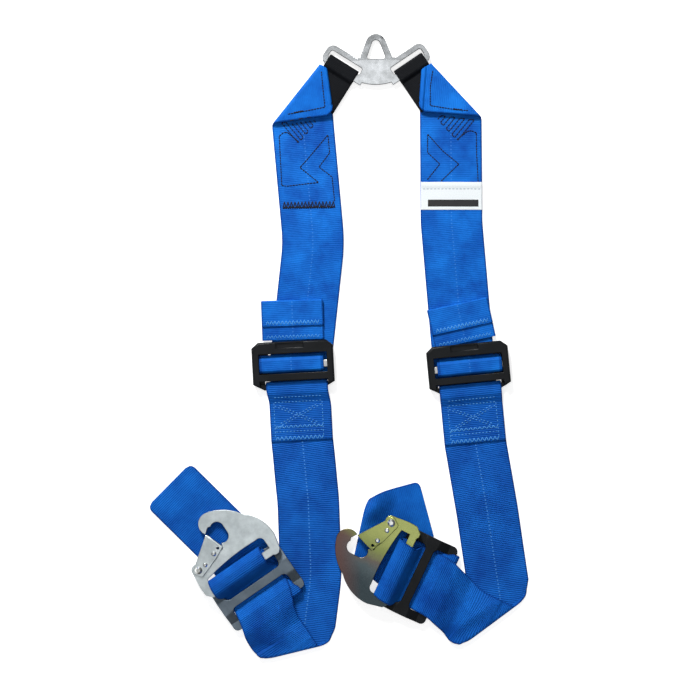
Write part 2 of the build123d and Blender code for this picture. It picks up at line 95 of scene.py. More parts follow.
# webbing
WIDTH = 50.0
PLY = 1.3                 # thickness of one layer
AIR = 0.1                 # between two layers
LAYER = PLY + AIR
FIT = 0.3                 # room between pieces that move past each other
LOOP_WIDTH = 27.0         # the narrow black webbing at the tongue plate
LOOP_PLY = 1.2
LOOP_LAYER = LOOP_PLY + AIR
STRAP_COLUMNS = 40
NARROW_COLUMNS = 24
WIDEST_BEND = 130.0       # radius of a strap's bend in plan
RIPPLE = 0.9              # height of the slow waves of worn webbing
RIPPLE_SPACING = (34.0, 42.0)
RIPPLE_FADE = 25.0
UPPER_RIPPLE = (45.0, 175.0)
LOWER_RIPPLE = (-160.0, -78.0)

# adjuster, and what is sewn or threaded at it
FRAME_LIFT = PLY + FIT
ANCHOR = (-19.4, -14.3)   # the bar that the lower strap is sewn round
ANCHOR_THICK = 3.3
ANCHOR_ROOM = 0.45
TOP_BAR_END = 19.4
LOCK_BAR_BACK = -3.0
LOCK_BAR_TOP = 6.3
BOX_LENGTH = 44.0
BOX_RISE = (5.5, 13.0)    # over this stretch its upper layer climbs on to the bar
BELOW_BOX = -32.0         # the long run drifts aside between these two places
ABOVE_FOLD = -130.0
TAIL_REACH = 32.4
TAB_LENGTH = 19.5
WRAP_WIDTH = 52.4
UNDER_FRAME = 12.0        # how far the upper strap runs on under the frame
STRAP_STOP = -12.95       # where its end is cut, along the frame
WINDOW_TOP = 9.8
BAR_GAP = (-15.2, -12.2)  # between the frame's anchor bar and its jaw bar
# dark lips under the frame, which stand in for shade in its window's corners
LEDGE_HEIGHT = (0.9, 1.28)
LEDGE_END = 31.0
LEDGE_INNER = 25.6
LEDGE_CORNER = 19.9

# slide, hook and the strap's way through them
SLIDE_LIFT = LAYER
SLIDE_THICK = 3.0
SLIDE_HALF_LENGTH = 21.5
HOOK_REACH = 16.8
HOOK_ROOM = 3.7
LOOP_SLACK = 4.8          # the strap's loop past the hook's bar
SLOT_PLAY = 1.1
TURN_SHOWS = 2.4          # how far the turn round the slide shows beside the run
PUFF = 3.5                # rise of the middle of the run behind the slide
FOLD_RADIUS = 1.6
CORNER_GIVE = 0.12        # share of the sweep that the lower layer follows at the corners
TAIL_ROLL = 6.0
ROLL_WIDTH = 7.0

# tongue plate and its black loops
TONGUE_PLACE = (30.0, 213.0)
TONGUE_TURN = 1.0
TONGUE_THICK = 3.0
TONGUE_Z = 3.4
BAR_OUT = (28.5, 12.7)
BAR_WIDTH = 6.0
WING_ANGLE = 33.0
LOOP_LENGTH = 34.0
LOOP_LOOSE = 1.5
STRAP_TRIM = 7.4

# cut ends, and heads of the upper straps
FLAP_CORNER = 6.0
TAIL_CORNER = 5.5
ROLLED_TAIL_CORNER = 4.5
FLAP_LENGTH = 24.0
END_HEM = 6.5
EDGE_HEM = 4.5
HEM_RISE = 1.3
EDGE_RISE = 0.7
TIP_TRIM = 5.6            # the heads are cut this far from the tongue's bar

# label
LABEL_PLACE = (90.6, 123.0)
LABEL_LENGTH = 49.5
LABEL_WIDTH = 22.5
LABEL_PLY = 0.4
LABEL_HEM = 4.2

LABEL_PRINT = ((71.5, 114.4), (112.4, 120.0))

# sewing: thread radii, lengths and gaps of stitches, pitches and reaches of zigzags
BEAD_REACH = 0.56         # a bead's half length, as a share of its stitch
STITCH_STEP = 1.2         # the highest step that a stitch can cross
HEAD_THREAD = 0.5
BOX_THREAD = 0.36
FINE_THREAD = 0.26
LABEL_THREAD = 0.22
HEAD_STITCH = (2.2, 0.1)
BOX_STITCH = (1.6, 1.2)
LABEL_STITCH = (2.2, 0.7)
TACK_ZIGZAG = (0.9, 0.7)
BAR_ZIGZAG = (1.4, 3.0)
BAR_FOOT_ZIGZAG = (0.9, 1.2)
BOX_ZIGZAG = (1.9, 1.2)
BOX_END_ZIGZAG = (1.7, 1.7)
TAB_ZIGZAG = (1.5, 1.7)
FRAME_SIDE_ZIGZAG = (1.5, 1.4)

# broken edges of the rigid pieces
EDGED = ("plate", "slide", "channel", "adjuster_frame")
EDGE_ROUND = 0.35
SHARP = math.radians(35)
FLAT_AREA = 25.0          # larger faces stay flat in their shading

LEGS = {
    "left": {
        "fold_place": (-32.3, 209.8), "fold_angle": 51.6, "mirror": 1,
        "strap_bend": (-20.9, 85.1), "strap_end": (-32.1, -17.8), "strap_offset": 2.2,
        "adjuster": (-37.4, -13.8), "turn": 3.0, "wrap_offset": -1.5,
        "tail_angle": 92.0, "tail_offset": 1.0,
        "waypoints": [(-25.3, -123.1), (-23.1, -183.9)], "drift": 1.8,
        "slide": (-67.2, -192.6), "heading": 124.6, "fold_reach": 64.0, "play": 4.6,
        "sweep": {"outer": 7.2, "inner": 11, "begins": -8, "length": 36},
        "tail_layer": 1, "tail_end": (-138.3, -110.9), "tail_fold": None,
    },
    "right": {
        "fold_place": (89.9, 214.2), "fold_angle": 133.1, "mirror": -1,
        "strap_bend": (90.6, 102.1), "strap_end": (101.2, -19.4), "strap_offset": 0.0,
        "adjuster": (104.1, -15.8), "turn": 5.5, "wrap_offset": 1.0,
        "tail_angle": 102.5, "tail_offset": 0.0,
        "waypoints": [(119.4, -131.2)], "drift": 0.0,
        "slide": (62.7, -184.0), "heading": 154.7, "fold_reach": 76.9, "play": 4.6,
        "sweep": {"outer": 12.5, "inner": 14, "begins": -14, "length": 45},
        "tail_layer": 0, "tail_end": (70.9, -132.0), "tail_fold": (16.6, -146.6),
    },
}


def middle_of(node):
    low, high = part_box(node)
    return (Vector(low) + Vector(high)) / 2


label_middle = middle_of("strap_label") / MM
PLAN = Vector((label_middle.x - LABEL_PLACE[0], label_middle.y - LABEL_PLACE[1], 0))


def metres(point):
    """A point of the plan frame in the part's own frame."""
    return (point + PLAN) * MM


# ------------------------------------------------------------------ plan geometry

def polar(angle, length=1.0):
    return Vector((math.cos(math.radians(angle)), math.sin(math.radians(angle)))) * length


def moved(place, angle, distance):
    return Vector(place[:2]) + polar(angle, distance)


def angle_of(start, end):
    return math.degrees(math.atan2(end[1] - start[1], end[0] - start[0]))


def on_frame(origin, turn, x, y):
    """Plan point at (x, y) in a frame that is turned about its origin."""
    return Vector(origin) + polar(turn, x) + polar(turn + 90, y)


def smooth(x):
    x = min(max(x, 0.0), 1.0)
    return x * x * (3 - 2 * x)


def rounded(points, radii, step):
    """Points along straight runs and the arcs that join them, about one step apart."""
    points = [Vector(p) for p in points]
    corners = [points[0]]
    path = []
    for i in range(1, len(points) - 1):
        before = (points[i - 1] - points[i]).normalized()
        after = (points[i + 1] - points[i]).normalized()
        half = before.angle(after) / 2
        reach = radii[i - 1] / math.tan(half)
        start = points[i] + before * reach
        end = points[i] + after * reach
        centre = points[i] + (before + after).normalized() * radii[i - 1] / math.sin(half)
        path += straight(corners[-1], start, step)
        sweep = math.pi - 2 * half
        count = max(3, math.ceil(sweep * radii[i - 1] / step))
        for k in range(count):
            share = k / count
            near = math.sin((1 - share) * sweep) / math.sin(sweep)
            far = math.sin(share * sweep) / math.sin(sweep)
            path.append(centre + (start - centre) * near + (end - centre) * far)
        corners.append(end)
    path += straight(corners[-1], points[-1], step)
    path.append(points[-1])
    return path


def straight(start, end, step):
    count = max(1, round((end - start).length / step))
    return [start + (end - start) * k / count for k in range(count)]


def easy_radii(points):
    """The widest bend that each corner of a route has room for."""
    radii = []
    for before, corner, after in zip(points, points[1:], points[2:]):
        turn = abs(angle_of(corner, after) - angle_of(before, corner))
        run = min(math.dist(before, corner), math.dist(corner, after))
        radii.append(min(WIDEST_BEND, 0.45 * run / math.tan(math.radians(turn / 2))))
    return radii


# ------------------------------------------------------------------ webbing as rows of points

def columns(width, count):
    """Places across a strap, closer together at its two edges."""
    half = width / 2
    inner = [half * (2 * k / count - 1) for k in range(1, count)]
    rim = [-half, -half + 0.15, -half + 0.45]
    return rim + [x for x in inner if abs(x) < half - 1] + [-x for x in reversed(rim)]


def flat_rows(points, z, cols, step=1.25, side=1):
    """Rows of a strap that lies flat along a plan route."""
    points = [Vector(p[:2]) for p in points]
    path = rounded(points, easy_radii(points), step)
    rows = []
    for i, place in enumerate(path):
        run = path[min(i + 1, len(path) - 1)] - path[max(i - 1, 0)]
        run.normalize()
        across = Vector((-run.y, run.x)) * side
        rows.append([Vector((*(place + across * t), z)) for t in cols])
    return rows


def bent_rows(place, heading, profile, cols, radii, step=1.0, side=1):
    """Rows of a strap that is bent up and down along one heading: the profile is (along, height)."""
    across = polar(heading + 90) * side
    rows = []
    for along, height in rounded(profile, radii, step):
        middle = moved(place, heading, along)
        rows.append([Vector((*(middle + across * t), height)) for t in cols])
    return rows


class Fold:
    """A diagonal turn of a strap, which rolls its plane over a straight line."""

    def __init__(self, at, heading_in, heading_out, z_in, z_out, side=1, radius=None):
        self.came, goes = polar(heading_in), polar(heading_out)
        self.outward = (self.came - goes).normalized()
        self.radius = radius or (z_out - z_in) / 2
        self.spare = 2 * self.radius - (z_out - z_in)
        self.arc = math.pi * self.radius
        self.slip = self.arc / (2 * self.came.dot(self.outward))
        self.start = Vector(at[:2]) - self.came * self.slip
        self.across = Vector((-self.came.y, self.came.x)) * side
        self.z_in = z_in

    def begins(self, before):
        return self.start - self.came * before

    def rows(self, cols, before, after, step=0.6):
        """Rows from before the fold to a length after the line, counted along the upper layer."""
        span = before + after + self.slip
        count = round(span / step)
        return [self.row(cols, -before + span * k / count) for k in range(count + 1)]

    def row(self, cols, along):
        line = []
        for t in cols:
            flat = self.start + self.came * along + self.across * t
            past = (flat - self.start).dot(self.outward)
            if past <= 0:
                line.append(Vector((*flat, self.z_in)))
                continue
            turn = min(past / self.arc, 1.0) * math.pi
            back = max(past - self.arc, 0.0)
            place = flat - self.outward * (past - self.radius * math.sin(turn) + back)
            line.append(Vector((*place, self.z_in + self.radius * (1 - math.cos(turn)))))
        return line

    def turned(self, p):
        """How far round the fold a point is: 0 on the lower layer, 1 on the upper one."""
        return min(max((p.z - self.z_in) / (2 * self.radius), 0.0), 1.0)

    def settle(self, rows, reach=14.0):
        """Lets the upper layer down on the lower one, away from the roll."""
        for row in rows:
            for p in row:
                if self.turned(p) > 0.5:
                    p.z -= self.spare * smooth(self.inside(p) / reach)
        return rows

    def inside(self, p):
        """Distance of a plan point from the fold's line, on the strap's side of it."""
        return -(Vector(p[:2]) - self.start).dot(self.outward) - self.radius

    def along_line(self, side):
        """The fold's line, in the sense that leads to one side."""
        line = Vector((-self.outward.y, self.outward.x))
        return line if line.dot(side) > 0 else -line

    def corner(self, half_width):
        """The plan corner at one edge of the strap, and the way from it into the strap."""
        across = self.across * half_width
        run = self.came * -across.dot(self.outward) / self.came.dot(self.outward)
        place = self.start + self.outward * self.radius + across + run
        return place, (self.along_line(-across) - self.came).normalized()


def softened(rows, corner, depth, reach):
    """Draws in a corner of a fold, which is round and not sharp."""
    place, inward = corner
    for row in rows:
        for p in row:
            gone = (p.xy - place).length / reach
            if gone < 1:
                p.xy += inward * depth * (1 - gone) ** 2
    return rows


def narrowed_end(rows, radius):
    """Rounds the two corners of a cut end."""
    centre = len(rows[0]) // 2
    tip = rows[-1][centre].copy()
    for row in reversed(rows):
        gone = (row[centre] - tip).length
        if gone >= radius:
            break
        half = (row[-1] - row[0]).length / 2
        inset = radius - math.sqrt(max(0.0, radius ** 2 - (radius - gone) ** 2))
        middle = row[centre].copy()
        for p in row:
            p.xyz = middle + (p - middle) * (half - inset) / half
    return rows


def rippled(rows, seed, begins, ends):
    """The slow rise and fall of worn webbing, alike in all layers, between two places along the set."""
    for row in rows:
        for p in row:
            calm = smooth((p.y - begins) / RIPPLE_FADE) * smooth((ends - p.y) / RIPPLE_FADE)
            wave = noise.noise(Vector((p.x / RIPPLE_SPACING[0], p.y / RIPPLE_SPACING[1], seed)))
            p.z += RIPPLE * calm * (0.5 + 0.7 * wave)
    return rows


def grid_normals(rows):
    """Upward directions at the points of the rows."""
    normals = []
    for i, row in enumerate(rows):
        ahead, behind = rows[min(i + 1, len(rows) - 1)], rows[max(i - 1, 0)]
        line = []
        for j in range(len(row)):
            run = ahead[j] - behind[j]
            across = row[min(j + 1, len(row) - 1)] - row[max(j - 1, 0)]
            n = across.cross(run)
            line.append(n.normalized() if n.length > 1e-9 else Vector((0, 0, 1)))
        normals.append(line)
    return normals


def section(cols, thick):
    """Half thicknesses across a strap, which is round at its two edges."""
    rim = 0.75 * thick
    into_rim = [max(0.0, (abs(t) - cols[-1] + rim) / rim) for t in cols]
    return [thick / 2 * math.sqrt(max(0.0, 1 - x ** 2)) for x in into_rim]


def webbing(name, rows, cols, thick, material, plain=0, lined=math.inf):
    """A closed strip round rows of middle points, with its width and length as UVs.

    The width is counted from one metre on the plain face (1 above, -1 below) and past the lined rows,
    where the strap's middle line doesn't show.
    """
    body = section(cols, thick)
    normals = grid_normals(rows)
    bm = bmesh.new()
    uv = bm.loops.layers.uv.new("weave")
    last = len(cols) - 1
    upper, lower, along = [], [], []
    run = 0.0
    for i, row in enumerate(rows):
        if i:
            run += (row[last // 2] - rows[i - 1][last // 2]).length
        along.append(run)
        top = [bm.verts.new(metres(p + n * h)) for p, n, h in zip(row, normals[i], body)]
        low = [bm.verts.new(metres(p - n * h)) for p, n, h in zip(row, normals[i], body)]
        low[0], low[last] = top[0], top[last]
        upper.append(top)
        lower.append(low)
    for i in range(len(rows) - 1):
        for j in range(last):
            corners = [(i, j), (i, j + 1), (i + 1, j + 1), (i + 1, j)]
            for side, grid in ((1, upper), (-1, lower)):
                ring = [grid[a][b] for a, b in corners[::side]]
                if len(set(ring)) < 4:
                    continue
                face = bm.faces.new(ring)
                face.smooth = True
                moved_on = side == plain or i > lined
                for loop, (a, b) in zip(face.loops, corners[::side]):
                    loop[uv].uv = (cols[b] * MM + moved_on, along[a] * MM)
    for i, step in ((0, 1), (len(rows) - 1, -1)):
        for j in range(last):
            ring = [upper[i][j], lower[i][j], lower[i][j + 1], upper[i][j + 1]]
            face = bm.faces.new(list(dict.fromkeys(ring[::step])))
            for loop in face.loops:
                loop[uv].uv = (cols[j] * MM, along[i] * MM)
    loose = [v for v in bm.verts if not v.link_faces]
    bmesh.ops.delete(bm, geom=loose, context="VERTS")
    bmesh.ops.recalc_face_normals(bm, faces=bm.faces)
    return finish_mesh(name, bm, material)


def new_piece(name, bm, material):
    mesh = bpy.data.meshes.new(name)
    bm.to_mesh(mesh)
    bm.free()
    mesh.materials.append(material)
    piece = bpy.data.objects.new(name, mesh)
    bpy.context.collection.objects.link(piece)
    return piece


def finish_mesh(name, bm, material):
    piece = new_piece(name, bm, material)
    return piece


# ------------------------------------------------------------------ materials

class Board:
    """The nodes of one material or node group, with a short way to add each kind."""

    def __init__(self, tree):
        self.nodes = tree.nodes
        self.links = tree.links

    def feed(self, socket, value):
        """Links an output to a socket, or sets the socket's own number or colour."""
        if isinstance(value, bpy.types.NodeSocket):
            self.links.new(value, socket)
        elif isinstance(value, tuple):
            socket.default_value = (*value, 1)
        else:
            socket.default_value = value

    def shade(self, values):
        """Sets or links sockets of the material's shader by name."""
        for name, value in values.items():
            self.feed(self.nodes["Principled BSDF"].inputs[name], value)

    def object_place(self):
        return self.nodes.new("ShaderNodeTexCoord").outputs["Object"]

    def weave_place(self):
        node = self.nodes.new("ShaderNodeUVMap")
        node.uv_map = "weave"
        return node.outputs[0]

    def split(self, vector):
        node = self.nodes.new("ShaderNodeSeparateXYZ")
        self.links.new(vector, node.inputs[0])
        return node.outputs

    def math(self, operation, *values):
        node = self.nodes.new("ShaderNodeMath")
        node.operation = operation
        for socket, value in zip(node.inputs, values):
            self.feed(socket, value)
        return node.outputs[0]

    def mix(self, share, first, second):
        node = self.nodes.new("ShaderNodeMix")
        node.data_type = "RGBA"
        for port, value in ((0, share), (6, first), (7, second)):
            self.feed(node.inputs[port], value)
        return node.outputs[2]

    def noise(self, place, scale, detail, breakup=0.5):
        node = self.nodes.new("ShaderNodeTexNoise")
        values = {"Vector": place, "Scale": scale, "Detail": detail, "Roughness": breakup}
        for name, value in values.items():
            self.feed(node.inputs[name], value)
        return node.outputs["Fac"]

    def ramp(self, value, *stops):
        """Colours at places along a value from 0 to 1."""
        node = self.nodes.new("ShaderNodeValToRGB")
        self.links.new(value, node.inputs[0])
        elements = node.color_ramp.elements
        while len(elements) < len(stops):
            elements.new(0.5)
        for element, (place, colour) in zip(elements, stops):
            element.position = place
            element.color = (*colour, 1)
        return node.outputs[0]

    def bump(self, height, strength, distance):
        node = self.nodes.new("ShaderNodeBump")
        node.inputs["Strength"].default_value = strength
        node.inputs["Distance"].default_value = distance
        self.links.new(height, node.inputs["Height"])
        self.shade({"Normal": node.outputs[0]})

    def group(self, tree, values):
        """Places a node group with its own values and gives its outputs."""
        node = self.nodes.new("ShaderNodeGroup")
        node.node_tree = tree
        for name, value in values.items():
            self.feed(node.inputs[name], value)
        return node.outputs


def new_material(name):
    material = bpy.data.materials.new(name)
    material.use_nodes = True
    return material, Board(material.node_tree)


def new_group(name, inputs, outputs):
    """An empty node group, its board, and the sockets that it is given."""
    tree = bpy.data.node_groups.new(name, "ShaderNodeTree")
    for socket in inputs:
        kind = "NodeSocketVector" if socket == "Place" else "NodeSocketFloat"
        tree.interface.new_socket(socket, in_out="INPUT", socket_type=kind)
    for socket in outputs:
        tree.interface.new_socket(socket, in_out="OUTPUT", socket_type="NodeSocketFloat")
    board = Board(tree)
    return tree, board, board.nodes.new("NodeGroupInput").outputs


def give_out(board, values):
    out = board.nodes.new("NodeGroupOutput")
    for socket, value in zip(out.inputs, values):
        board.feed(socket, value)


def weave_group():
    """Rib and yarn pattern of webbing, from the strap's own width and length in metres."""
    tree, board, given = new_group("weave", ("Rib", "Yarn"), ("Ribs", "Yarns", "Blotch", "Across"))
    width, length, _ = board.split(board.weave_place())
    across = board.math("SUBTRACT", board.math("FRACT", board.math("ADD", width, 0.5)), 0.5)
    both = board.nodes.new("ShaderNodeCombineXYZ")
    board.feed(both.inputs[0], across)
    board.feed(both.inputs[1], length)
    slack = board.math("MULTIPLY", board.noise(both.outputs[0], 220.0, 2.0), 0.0007)
    turns = board.math("DIVIDE", board.math("ADD", length, slack), given["Rib"])
    ribs = board.math("SINE", board.math("MULTIPLY", turns, 2 * math.pi))
    ribs = board.math("MULTIPLY_ADD", ribs, 0.5, 0.5)
    row = board.math("FLOOR", board.math("MULTIPLY", turns, 2.0))
    cells = board.math("DIVIDE", width, given["Yarn"])
    cells = board.math("ADD", cells, board.math("MULTIPLY", row, 0.5))
    yarns = board.math("SINE", board.math("MULTIPLY", cells, 2 * math.pi))
    yarns = board.math("MULTIPLY_ADD", yarns, 0.5, 0.5)
    # a slow blotch of lighter and darker colour: partly the webbing's uneven tone, partly painted sheen of
    # its satin gloss
    blotch_and_sheen = board.noise(both.outputs[0], 28.0, 4.0, 0.6)
    give_out(board, (ribs, yarns, blotch_and_sheen, across))
    return tree


def grain_group():
    """The mottling and the fine grain of metal, moulded plastic and thread."""
    tree, board, given = new_group("grain", ("Place", *MOTTLE, *FINE), ("Mottle", "Fine"))
    mottle = board.noise(given["Place"], *(given[name] for name in MOTTLE))
    fine = board.noise(given["Place"], *(given[name] for name in FINE))
    give_out(board, (mottle, fine))
    return tree


# the grain group's inputs, and the values of each finish in that order
MOTTLE = ("Mottle Scale", "Mottle Detail", "Mottle Breakup")
FINE = ("Fine Scale", "Fine Detail", "Fine Breakup")
STEEL_MOTTLE = (90.0, 6.0, 0.6)
STEEL_CLOUDS = (45.0, 3.0, 0.5)
STEEL_FINE = (900.0, 4.0, 0.7)
MOULDED_MOTTLE = (60.0, 5.0, 0.5)
MOULDED_FINE = (1400.0, 2.0, 0.5)
THREAD_TWIST = (2500.0, 2.0, 0.5)

WEAVE = weave_group()
GRAIN = grain_group()


def grained(board, mottle, fine=MOULDED_FINE):
    """The grain group's two values, each from a scale, a detail and a breakup."""
    values = dict(zip(MOTTLE + FINE, mottle + fine))
    return board.group(GRAIN, {"Place": board.object_place(), **values})


# webbing pattern, in metres
SHADED_EDGE = 0.0238         # from a strap's middle line to where its painted edge shade begins
DOT_HALF_WIDTH = 0.0005
DOT_PITCH = 0.003


def strap_material(name, tones, rib_share, dot_share, relief):
    """Blue webbing: ribs painted lighter as highlights, dark yarns, a dotted line along the middle, and
    painted shade along both edges.
    """
    material, board = new_material(name)
    ribs, yarns, blotch_and_sheen, across = board.group(WEAVE, {"Rib": 0.0015, "Yarn": 0.0011})
    # the blotch ramps the body between a darker and a lighter tone, partly as painted sheen
    body = board.ramp(blotch_and_sheen, (0.32, tones[0]), (0.68, tones[1]))
    lit = board.mix(board.math("MULTIPLY", ribs, rib_share), body, (0.012, 0.22, 0.84))
    yarned = board.mix(board.math("MULTIPLY", yarns, 0.16), lit, (0.002, 0.035, 0.22))
    width, length, _ = board.split(board.weave_place())
    near = board.math("LESS_THAN", board.math("ABSOLUTE", width), DOT_HALF_WIDTH)
    pitch = board.math("FRACT", board.math("DIVIDE", length, DOT_PITCH))
    dots = board.math("MULTIPLY", near, board.math("LESS_THAN", pitch, 0.4))
    dotted = board.mix(board.math("MULTIPLY", dots, dot_share), yarned, (0.12, 0.42, 0.95))
    # painted shade: both edges of the strap are darkened, as where the cloth rounds off
    edge = board.math("GREATER_THAN", board.math("ABSOLUTE", across), SHADED_EDGE)
    edge_shaded = board.mix(board.math("MULTIPLY", edge, 0.55), dotted, (0.002, 0.03, 0.20))
    board.shade({"Base Color": edge_shaded, "Roughness": 0.5, "Specular IOR Level": 0.05})
    board.bump(board.math("MULTIPLY_ADD", yarns, 0.25, ribs), relief, 0.0005)
    return material


def black_webbing_material():
    """The narrow loops: nearly black, with a yarn pattern painted paler as its sheen."""
    material, board = new_material("black_webbing")
    ribs, yarns, blotch_and_sheen, _ = board.group(WEAVE, {"Rib": 0.0012, "Yarn": 0.0016})
    body = board.ramp(blotch_and_sheen, (0.3, (0.002, 0.0025, 0.004)), (0.7, (0.005, 0.006, 0.008)))
    # painted sheen: the yarn pattern is mixed towards a paler grey
    colour = board.mix(board.math("MULTIPLY", yarns, 0.25), body, (0.016, 0.018, 0.022))
    board.shade({"Base Color": colour, "Roughness": 0.6, "Specular IOR Level": 0.1})
    board.bump(board.math("MULTIPLY_ADD", yarns, 0.8, ribs), 0.5, 0.0004)
    return material


def thread_material(name, colour, roughness=0.5):
    """Twisted thread, and the matt print on the label."""
    material, board = new_material(name)
    twist, _ = grained(board, THREAD_TWIST)
    dark = tuple(0.6 * c for c in colour)
    board.shade({"Base Color": board.ramp(twist, (0.3, dark), (0.7, colour)), "Roughness": roughness})
    board.bump(twist, 0.3, 0.0002)
    return material


def label_material():
    """White woven label cloth."""
    material, board = new_material("label_cloth")
    grain = board.noise(board.weave_place(), 1500.0, 3.0)
    colour = board.ramp(grain, (0.3, (0.78, 0.84, 0.86)), (0.7, (0.92, 0.97, 1.0)))
    board.shade({"Base Color": colour, "Roughness": 0.55})
    board.bump(grain, 0.25, 0.0001)
    return material


def metal_material(name, low, high, roughness, scratch=0.25, painted_side_shade=0.0):
    """Plated steel: a mottled tone with fine scratches, uneven gloss, and faces that tilt away from upward
    painted darker as shade.
    """
    material, board = new_material(name)
    mottle, fine = grained(board, STEEL_MOTTLE, STEEL_FINE)
    tone = board.ramp(mottle, (0.32, low), (0.68, high))
    if painted_side_shade:
        # painted shade: faces that tilt away from upward are darkened towards near black
        facing = board.split(board.nodes.new("ShaderNodeNewGeometry").outputs["Normal"])
        side = board.math("LESS_THAN", facing[2], 0.93)
        tone = board.mix(board.math("MULTIPLY", side, painted_side_shade), tone, (0.03, 0.03, 0.03))
    gloss = board.math("MULTIPLY_ADD", fine, 0.22, roughness - 0.11)
    board.shade({"Base Color": tone, "Metallic": 1.0, "Roughness": gloss})
    board.bump(fine, scratch, 0.00012)
    return material


def passivated_material():
    """Steel whose clear plating shifts from a brownish nose through grey to a green back."""
    material, board = new_material("hook_passivated")
    mapping = board.nodes.new("ShaderNodeMapping")
    mapping.inputs["Location"].default_value = -middle_of("right_hook_plate")
    board.feed(mapping.inputs["Vector"], board.object_place())
    east, north, _ = board.split(mapping.outputs[0])
    cloud, fine = grained(board, STEEL_CLOUDS, STEEL_FINE)
    rise = board.math("ADD", north, board.math("MULTIPLY_ADD", cloud, 0.024, -0.012))
    slope = board.math("ADD", rise, board.math("MULTIPLY", east, 0.75))
    tint = board.ramp(
        board.math("MULTIPLY_ADD", slope, 1 / 0.062, 0.5),
        (0.05, (0.055, 0.075, 0.085)), (0.32, (0.10, 0.13, 0.14)), (0.5, (0.16, 0.14, 0.12)),
        (0.66, (0.26, 0.30, 0.10)), (0.9, (0.40, 0.44, 0.15)),
    )
    nose = board.math("MULTIPLY_ADD", east, -1 / 0.022, -0.62)
    nose = board.math("MINIMUM", board.math("MAXIMUM", nose, 0.0), 1.0)
    gloss = board.math("MULTIPLY_ADD", fine, 0.2, 0.2)
    colour = board.mix(nose, tint, (0.16, 0.085, 0.075))
    board.shade({"Base Color": colour, "Metallic": 1.0, "Roughness": gloss})
    board.bump(fine, 0.2, 0.0001)
    return material


def plastic_material(name, low, high, roughness):
    """Matt black moulding or paint."""
    material, board = new_material(name)
    mottle, fine = grained(board, MOULDED_MOTTLE)
    gloss = board.math("MULTIPLY_ADD", fine, 0.2, roughness - 0.1)
    colour = board.ramp(mottle, (0.3, low), (0.7, high))
    board.shade({"Base Color": colour, "Roughness": gloss, "Specular IOR Level": 0.2})
    board.bump(fine, 0.3, 0.0001)
    return material


# each strap's two tones are the ends of its blotch, which is partly painted sheen
STRAP = strap_material("strap_webbing", ((0.003, 0.045, 0.30), (0.009, 0.150, 0.64)), 0.30, 0.5, 0.7)
STRAP_HEAD = strap_material("strap_webbing_plain", ((0.004, 0.065, 0.38), (0.011, 0.21, 0.80)),
                            0.1, 0.22, 0.35)
BLACK = black_webbing_material()
LABEL = label_material()
BLACK_THREAD = thread_material("black_thread", (0.002, 0.003, 0.012), 0.8)
BLUE_THREAD = thread_material("blue_thread", (0.09, 0.42, 0.95))
TEAL_THREAD = thread_material("teal_thread", (0.03, 0.16, 0.28))
PRINT = thread_material("label_print", (0.02, 0.02, 0.022), 0.7)


# ------------------------------------------------------------------ rigid pieces

def hardware_finishes():
    """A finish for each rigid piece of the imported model."""
    # the last number of the tongue and zinc finishes is how much their sides are painted darker as shade
    tongue = metal_material("tongue_steel", (0.40, 0.42, 0.43), (0.80, 0.83, 0.86), 0.24, 0.10, 0.75)
    satin = metal_material("slide_satin", (0.13, 0.165, 0.20), (0.19, 0.235, 0.28), 0.45)
    black = plastic_material("slide_black", (0.003, 0.004, 0.005), (0.008, 0.009, 0.011), 0.42)
    moulded = plastic_material("adjuster_plastic", (0.002, 0.003, 0.004), (0.006, 0.007, 0.009), 0.38)
    zinc = metal_material("hook_zinc", (0.50, 0.56, 0.58), (0.74, 0.81, 0.83), 0.36, 0.25, 0.3)
    passivated = passivated_material()
    bar = metal_material("bar_steel", (0.42, 0.42, 0.42), (0.62, 0.62, 0.62), 0.35)
    bright = metal_material("rivet_steel", (0.60, 0.62, 0.60), (0.85, 0.87, 0.86), 0.22, 0.1)
    finishes = {"tongue_plate": tongue, "left_strap_slide": satin, "right_strap_slide": black}
    for part in ("_hook_plate", "_gate_channel"):
        finishes["left" + part] = zinc
        finishes["right" + part] = passivated
    for side in LEGS:
        finishes[side + "_adjuster_frame"] = moulded
        finishes[side + "_lock_bar"] = bar
        finishes[side + "_gate_spring"] = bar
        finishes[side + "_pivot_rivet"] = bright
        finishes[side + "_gate_rivets"] = bright
    return finishes


def dress_hardware():
    """Gives the rigid pieces their finishes, and the larger ones broken edges."""
    finishes = hardware_finishes()
    for side, leg in LEGS.items():
        build_shade_ledges(side, leg, finishes[side + "_adjuster_frame"])
    for node, material in finishes.items():
        mesh = frame["nodes"][node].data
        mesh.materials.clear()
        mesh.materials.append(material)
        if node.endswith(EDGED):
            break_edges(node, material)


def build_shade_ledges(side, leg, finish):
    """Thin dark lips under the ends of the adjuster's window and of the gap between its bars, which close
    these corners: dark sheets that stand in for the shade seen there.
    """
    outer = -leg["mirror"]
    aside = outer * leg["strap_offset"]
    low, high = LEDGE_HEIGHT
    turn = Matrix.Rotation(math.radians(leg["turn"]), 4, "Z")
    lips = (
        (1, LEDGE_CORNER, BAR_GAP[1], WINDOW_TOP),
        (1, LEDGE_INNER + aside, *BAR_GAP),
        (-1, LEDGE_INNER - aside, *BAR_GAP),
    )
    bm = bmesh.new()
    for end, inner, back, front in lips:
        across = end * outer * (inner + LEDGE_END) / 2
        middle = on_frame(leg["adjuster"], leg["turn"], across, (back + front) / 2)
        place = Matrix.Translation(metres(Vector((*middle, (low + high) / 2))))
        size = Matrix.Diagonal(Vector((LEDGE_END - inner, front - back, high - low)) * MM).to_4x4()
        bmesh.ops.create_cube(bm, size=1.0, matrix=place @ turn @ size)
    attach(finish_mesh(side + "_frame_ledges", bm, finish), side + "_adjuster")


